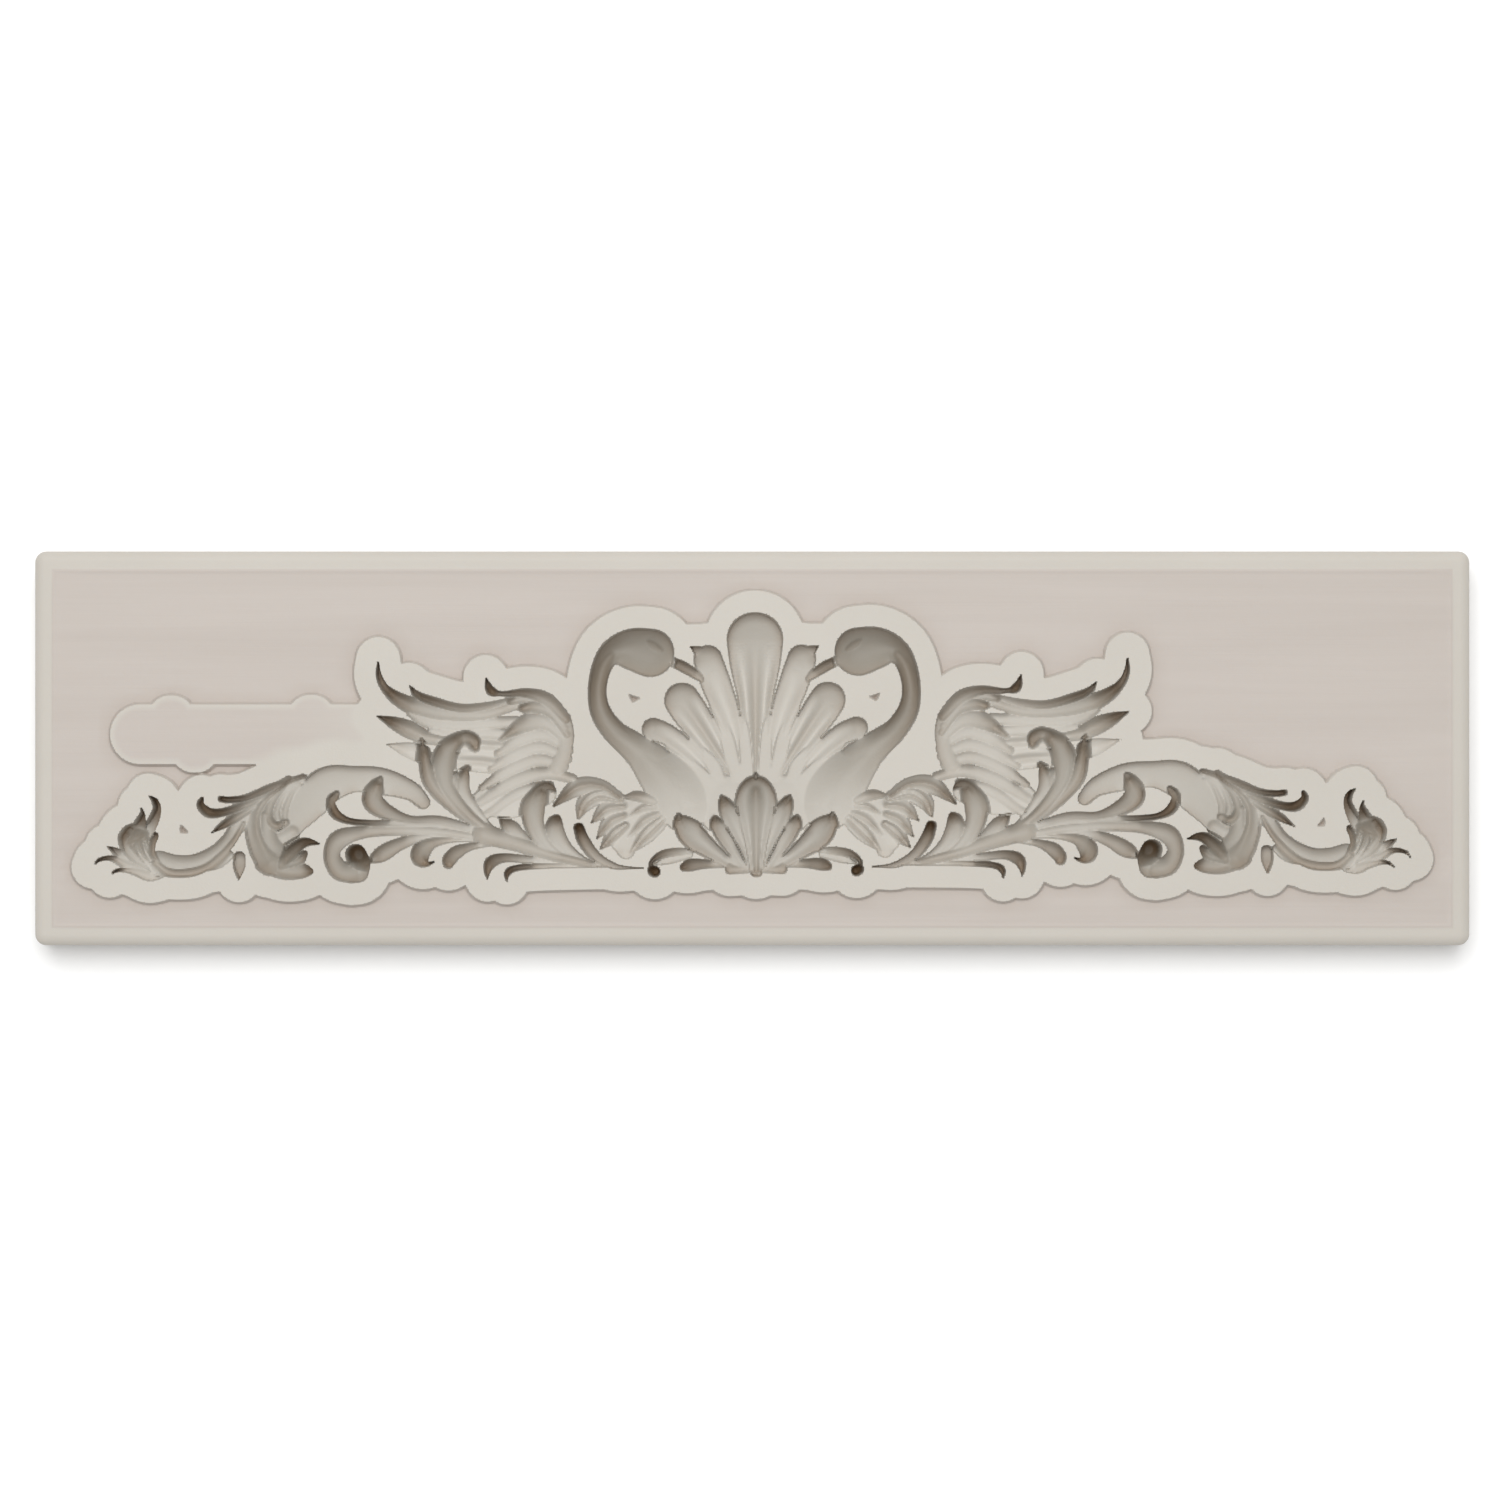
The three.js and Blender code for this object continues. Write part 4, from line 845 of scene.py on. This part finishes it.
def streaks(nodes, links, place, scale, detail=3.0, distortion=0.5):
    """Noise with its own scale along each axis, so that it can be drawn out into streaks."""
    stretched = node(nodes, "ShaderNodeMapping")
    stretched.inputs["Scale"].default_value = scale
    links.new(place, stretched.inputs["Vector"])
    noise = node(nodes, "ShaderNodeTexNoise", Scale=1.0, Detail=detail, Distortion=distortion)
    links.new(stretched.outputs["Vector"], noise.inputs["Vector"])
    return noise.outputs["Fac"]


def attribute_value(nodes, name):
    """One of the mesh's own values for each point."""
    return node(nodes, "ShaderNodeAttribute", attribute_name=name).outputs["Fac"]


def silicone_colour(nodes, links, place, polished):
    """Greyer where the master was milled, with painted shade darker and browner down in the cavity, where
    it holds less light, and a little on the slab beside the border."""
    milled = blend(nodes, links, streaks(nodes, links, place, MILLED_STREAKS), MILLED_DARK, MILLED_LIGHT)
    smooth = blend(nodes, links, streaks(nodes, links, place, SMOOTH_PATCHES), SMOOTH_DARK, SMOOTH_LIGHT)
    surface = blend(nodes, links, polished, milled, smooth)
    # Painted shade: darker and browner the deeper the floor
    sunk = reshaped(nodes, links, attribute_value(nodes, "deep"), "POWER", DEEP_POWER)
    floor = blend(nodes, links, sunk, surface, DEEP_FLOOR_SHADE)
    # Painted shade: browner still in narrow slots, and slightly on the slab beside the border
    narrow = reshaped(nodes, links, attribute_value(nodes, "hollow"), "MULTIPLY", SLOT_SHARE)
    return blend(nodes, links, narrow, floor, NARROW_SLOT_SHADE)


def silicone_grain(nodes, links, place, polished):
    """The surface's fine grain: long scratches where it is milled, and tiny specks where it is smooth."""
    scratches = streaks(nodes, links, place, MILLED_GRAIN, detail=2.0, distortion=0.6)
    specks = node(nodes, "ShaderNodeTexNoise", Scale=FINE_GRAIN, Detail=2.0)
    links.new(place, specks.inputs["Vector"])
    level = node(nodes, "ShaderNodeMix", data_type="FLOAT")
    links.new(polished, level.inputs["Factor"])
    links.new(scratches, level.inputs["A"])
    links.new(specks.outputs["Fac"], level.inputs["B"])
    bump = node(nodes, "ShaderNodeBump", Strength=0.35, Distance=0.00006)
    links.new(level.outputs["Result"], bump.inputs["Height"])
    return bump.outputs["Normal"]


def silicone():
    """Matt cream silicone that lets a little light through."""
    material, nodes, links = new_material("silicone")
    place = node(nodes, "ShaderNodeTexCoord").outputs["Object"]
    polished = attribute_value(nodes, "polished")
    shader = nodes["Principled BSDF"]
    links.new(silicone_colour(nodes, links, place, polished), shader.inputs["Base Color"])
    links.new(silicone_grain(nodes, links, place, polished), shader.inputs["Normal"])
    shader.inputs["Roughness"].default_value = 0.55
    shader.inputs["Specular IOR Level"].default_value = 0.35
    shader.inputs["Subsurface Weight"].default_value = 0.12
    shader.inputs["Subsurface Radius"].default_value = (1.0, 0.75, 0.55)
    shader.inputs["Subsurface Scale"].default_value = 0.0012
    return material


def make_window_light():
    """A large soft light above the far edge, aimed at the middle of the mould."""
    light = bpy.data.lights.new("window_light", "AREA")
    light.size = LIGHT_SIZE
    light.energy = LIGHT_WATTS
    holder = bpy.data.objects.new("window_light", light)
    holder.location = LIGHT_PLACE
    holder.rotation_euler = (-Vector(LIGHT_PLACE)).to_track_quat("-Z", "Y").to_euler()
    bpy.context.scene.collection.objects.link(holder)


def make_world():
    """Even white light from all round."""
    world = bpy.data.worlds.new("studio")
    world.use_nodes = True
    background = world.node_tree.nodes["Background"]
    background.inputs["Color"].default_value = (1, 1, 1, 1)
    background.inputs["Strength"].default_value = WORLD_STRENGTH
    bpy.context.scene.world = world


def make_floor():
    """A plain pale sheet under the mould."""
    bpy.ops.mesh.primitive_plane_add(size=FLOOR_SIZE)
    floor = bpy.context.object
    floor.name = "floor"
    material, nodes, _ = new_material("floor_paper")
    nodes["Principled BSDF"].inputs["Base Color"].default_value = (*FLOOR_WHITE, 1)
    nodes["Principled BSDF"].inputs["Roughness"].default_value = 0.9
    floor.data.materials.append(material)


def make_camera():
    """Straight down on the mould, from far off, so that the view has little perspective."""
    camera_data = bpy.data.cameras.new("camera")
    camera_data.lens = LENS
    distance = VIEW_WIDTH * LENS / camera_data.sensor_width
    camera = bpy.data.objects.new("camera", camera_data)
    camera.location = (VIEW_CENTRE_X, VIEW_CENTRE_Y, distance + high_corner.z)
    bpy.context.scene.collection.objects.link(camera)
    bpy.context.scene.camera = camera


make_camera()
make_window_light()
make_world()
make_floor()

mould = build_mould()
mould.data.materials.append(silicone())
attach(mould, "root")
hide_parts(NODE)

bpy.context.scene.view_settings.view_transform = "Standard"
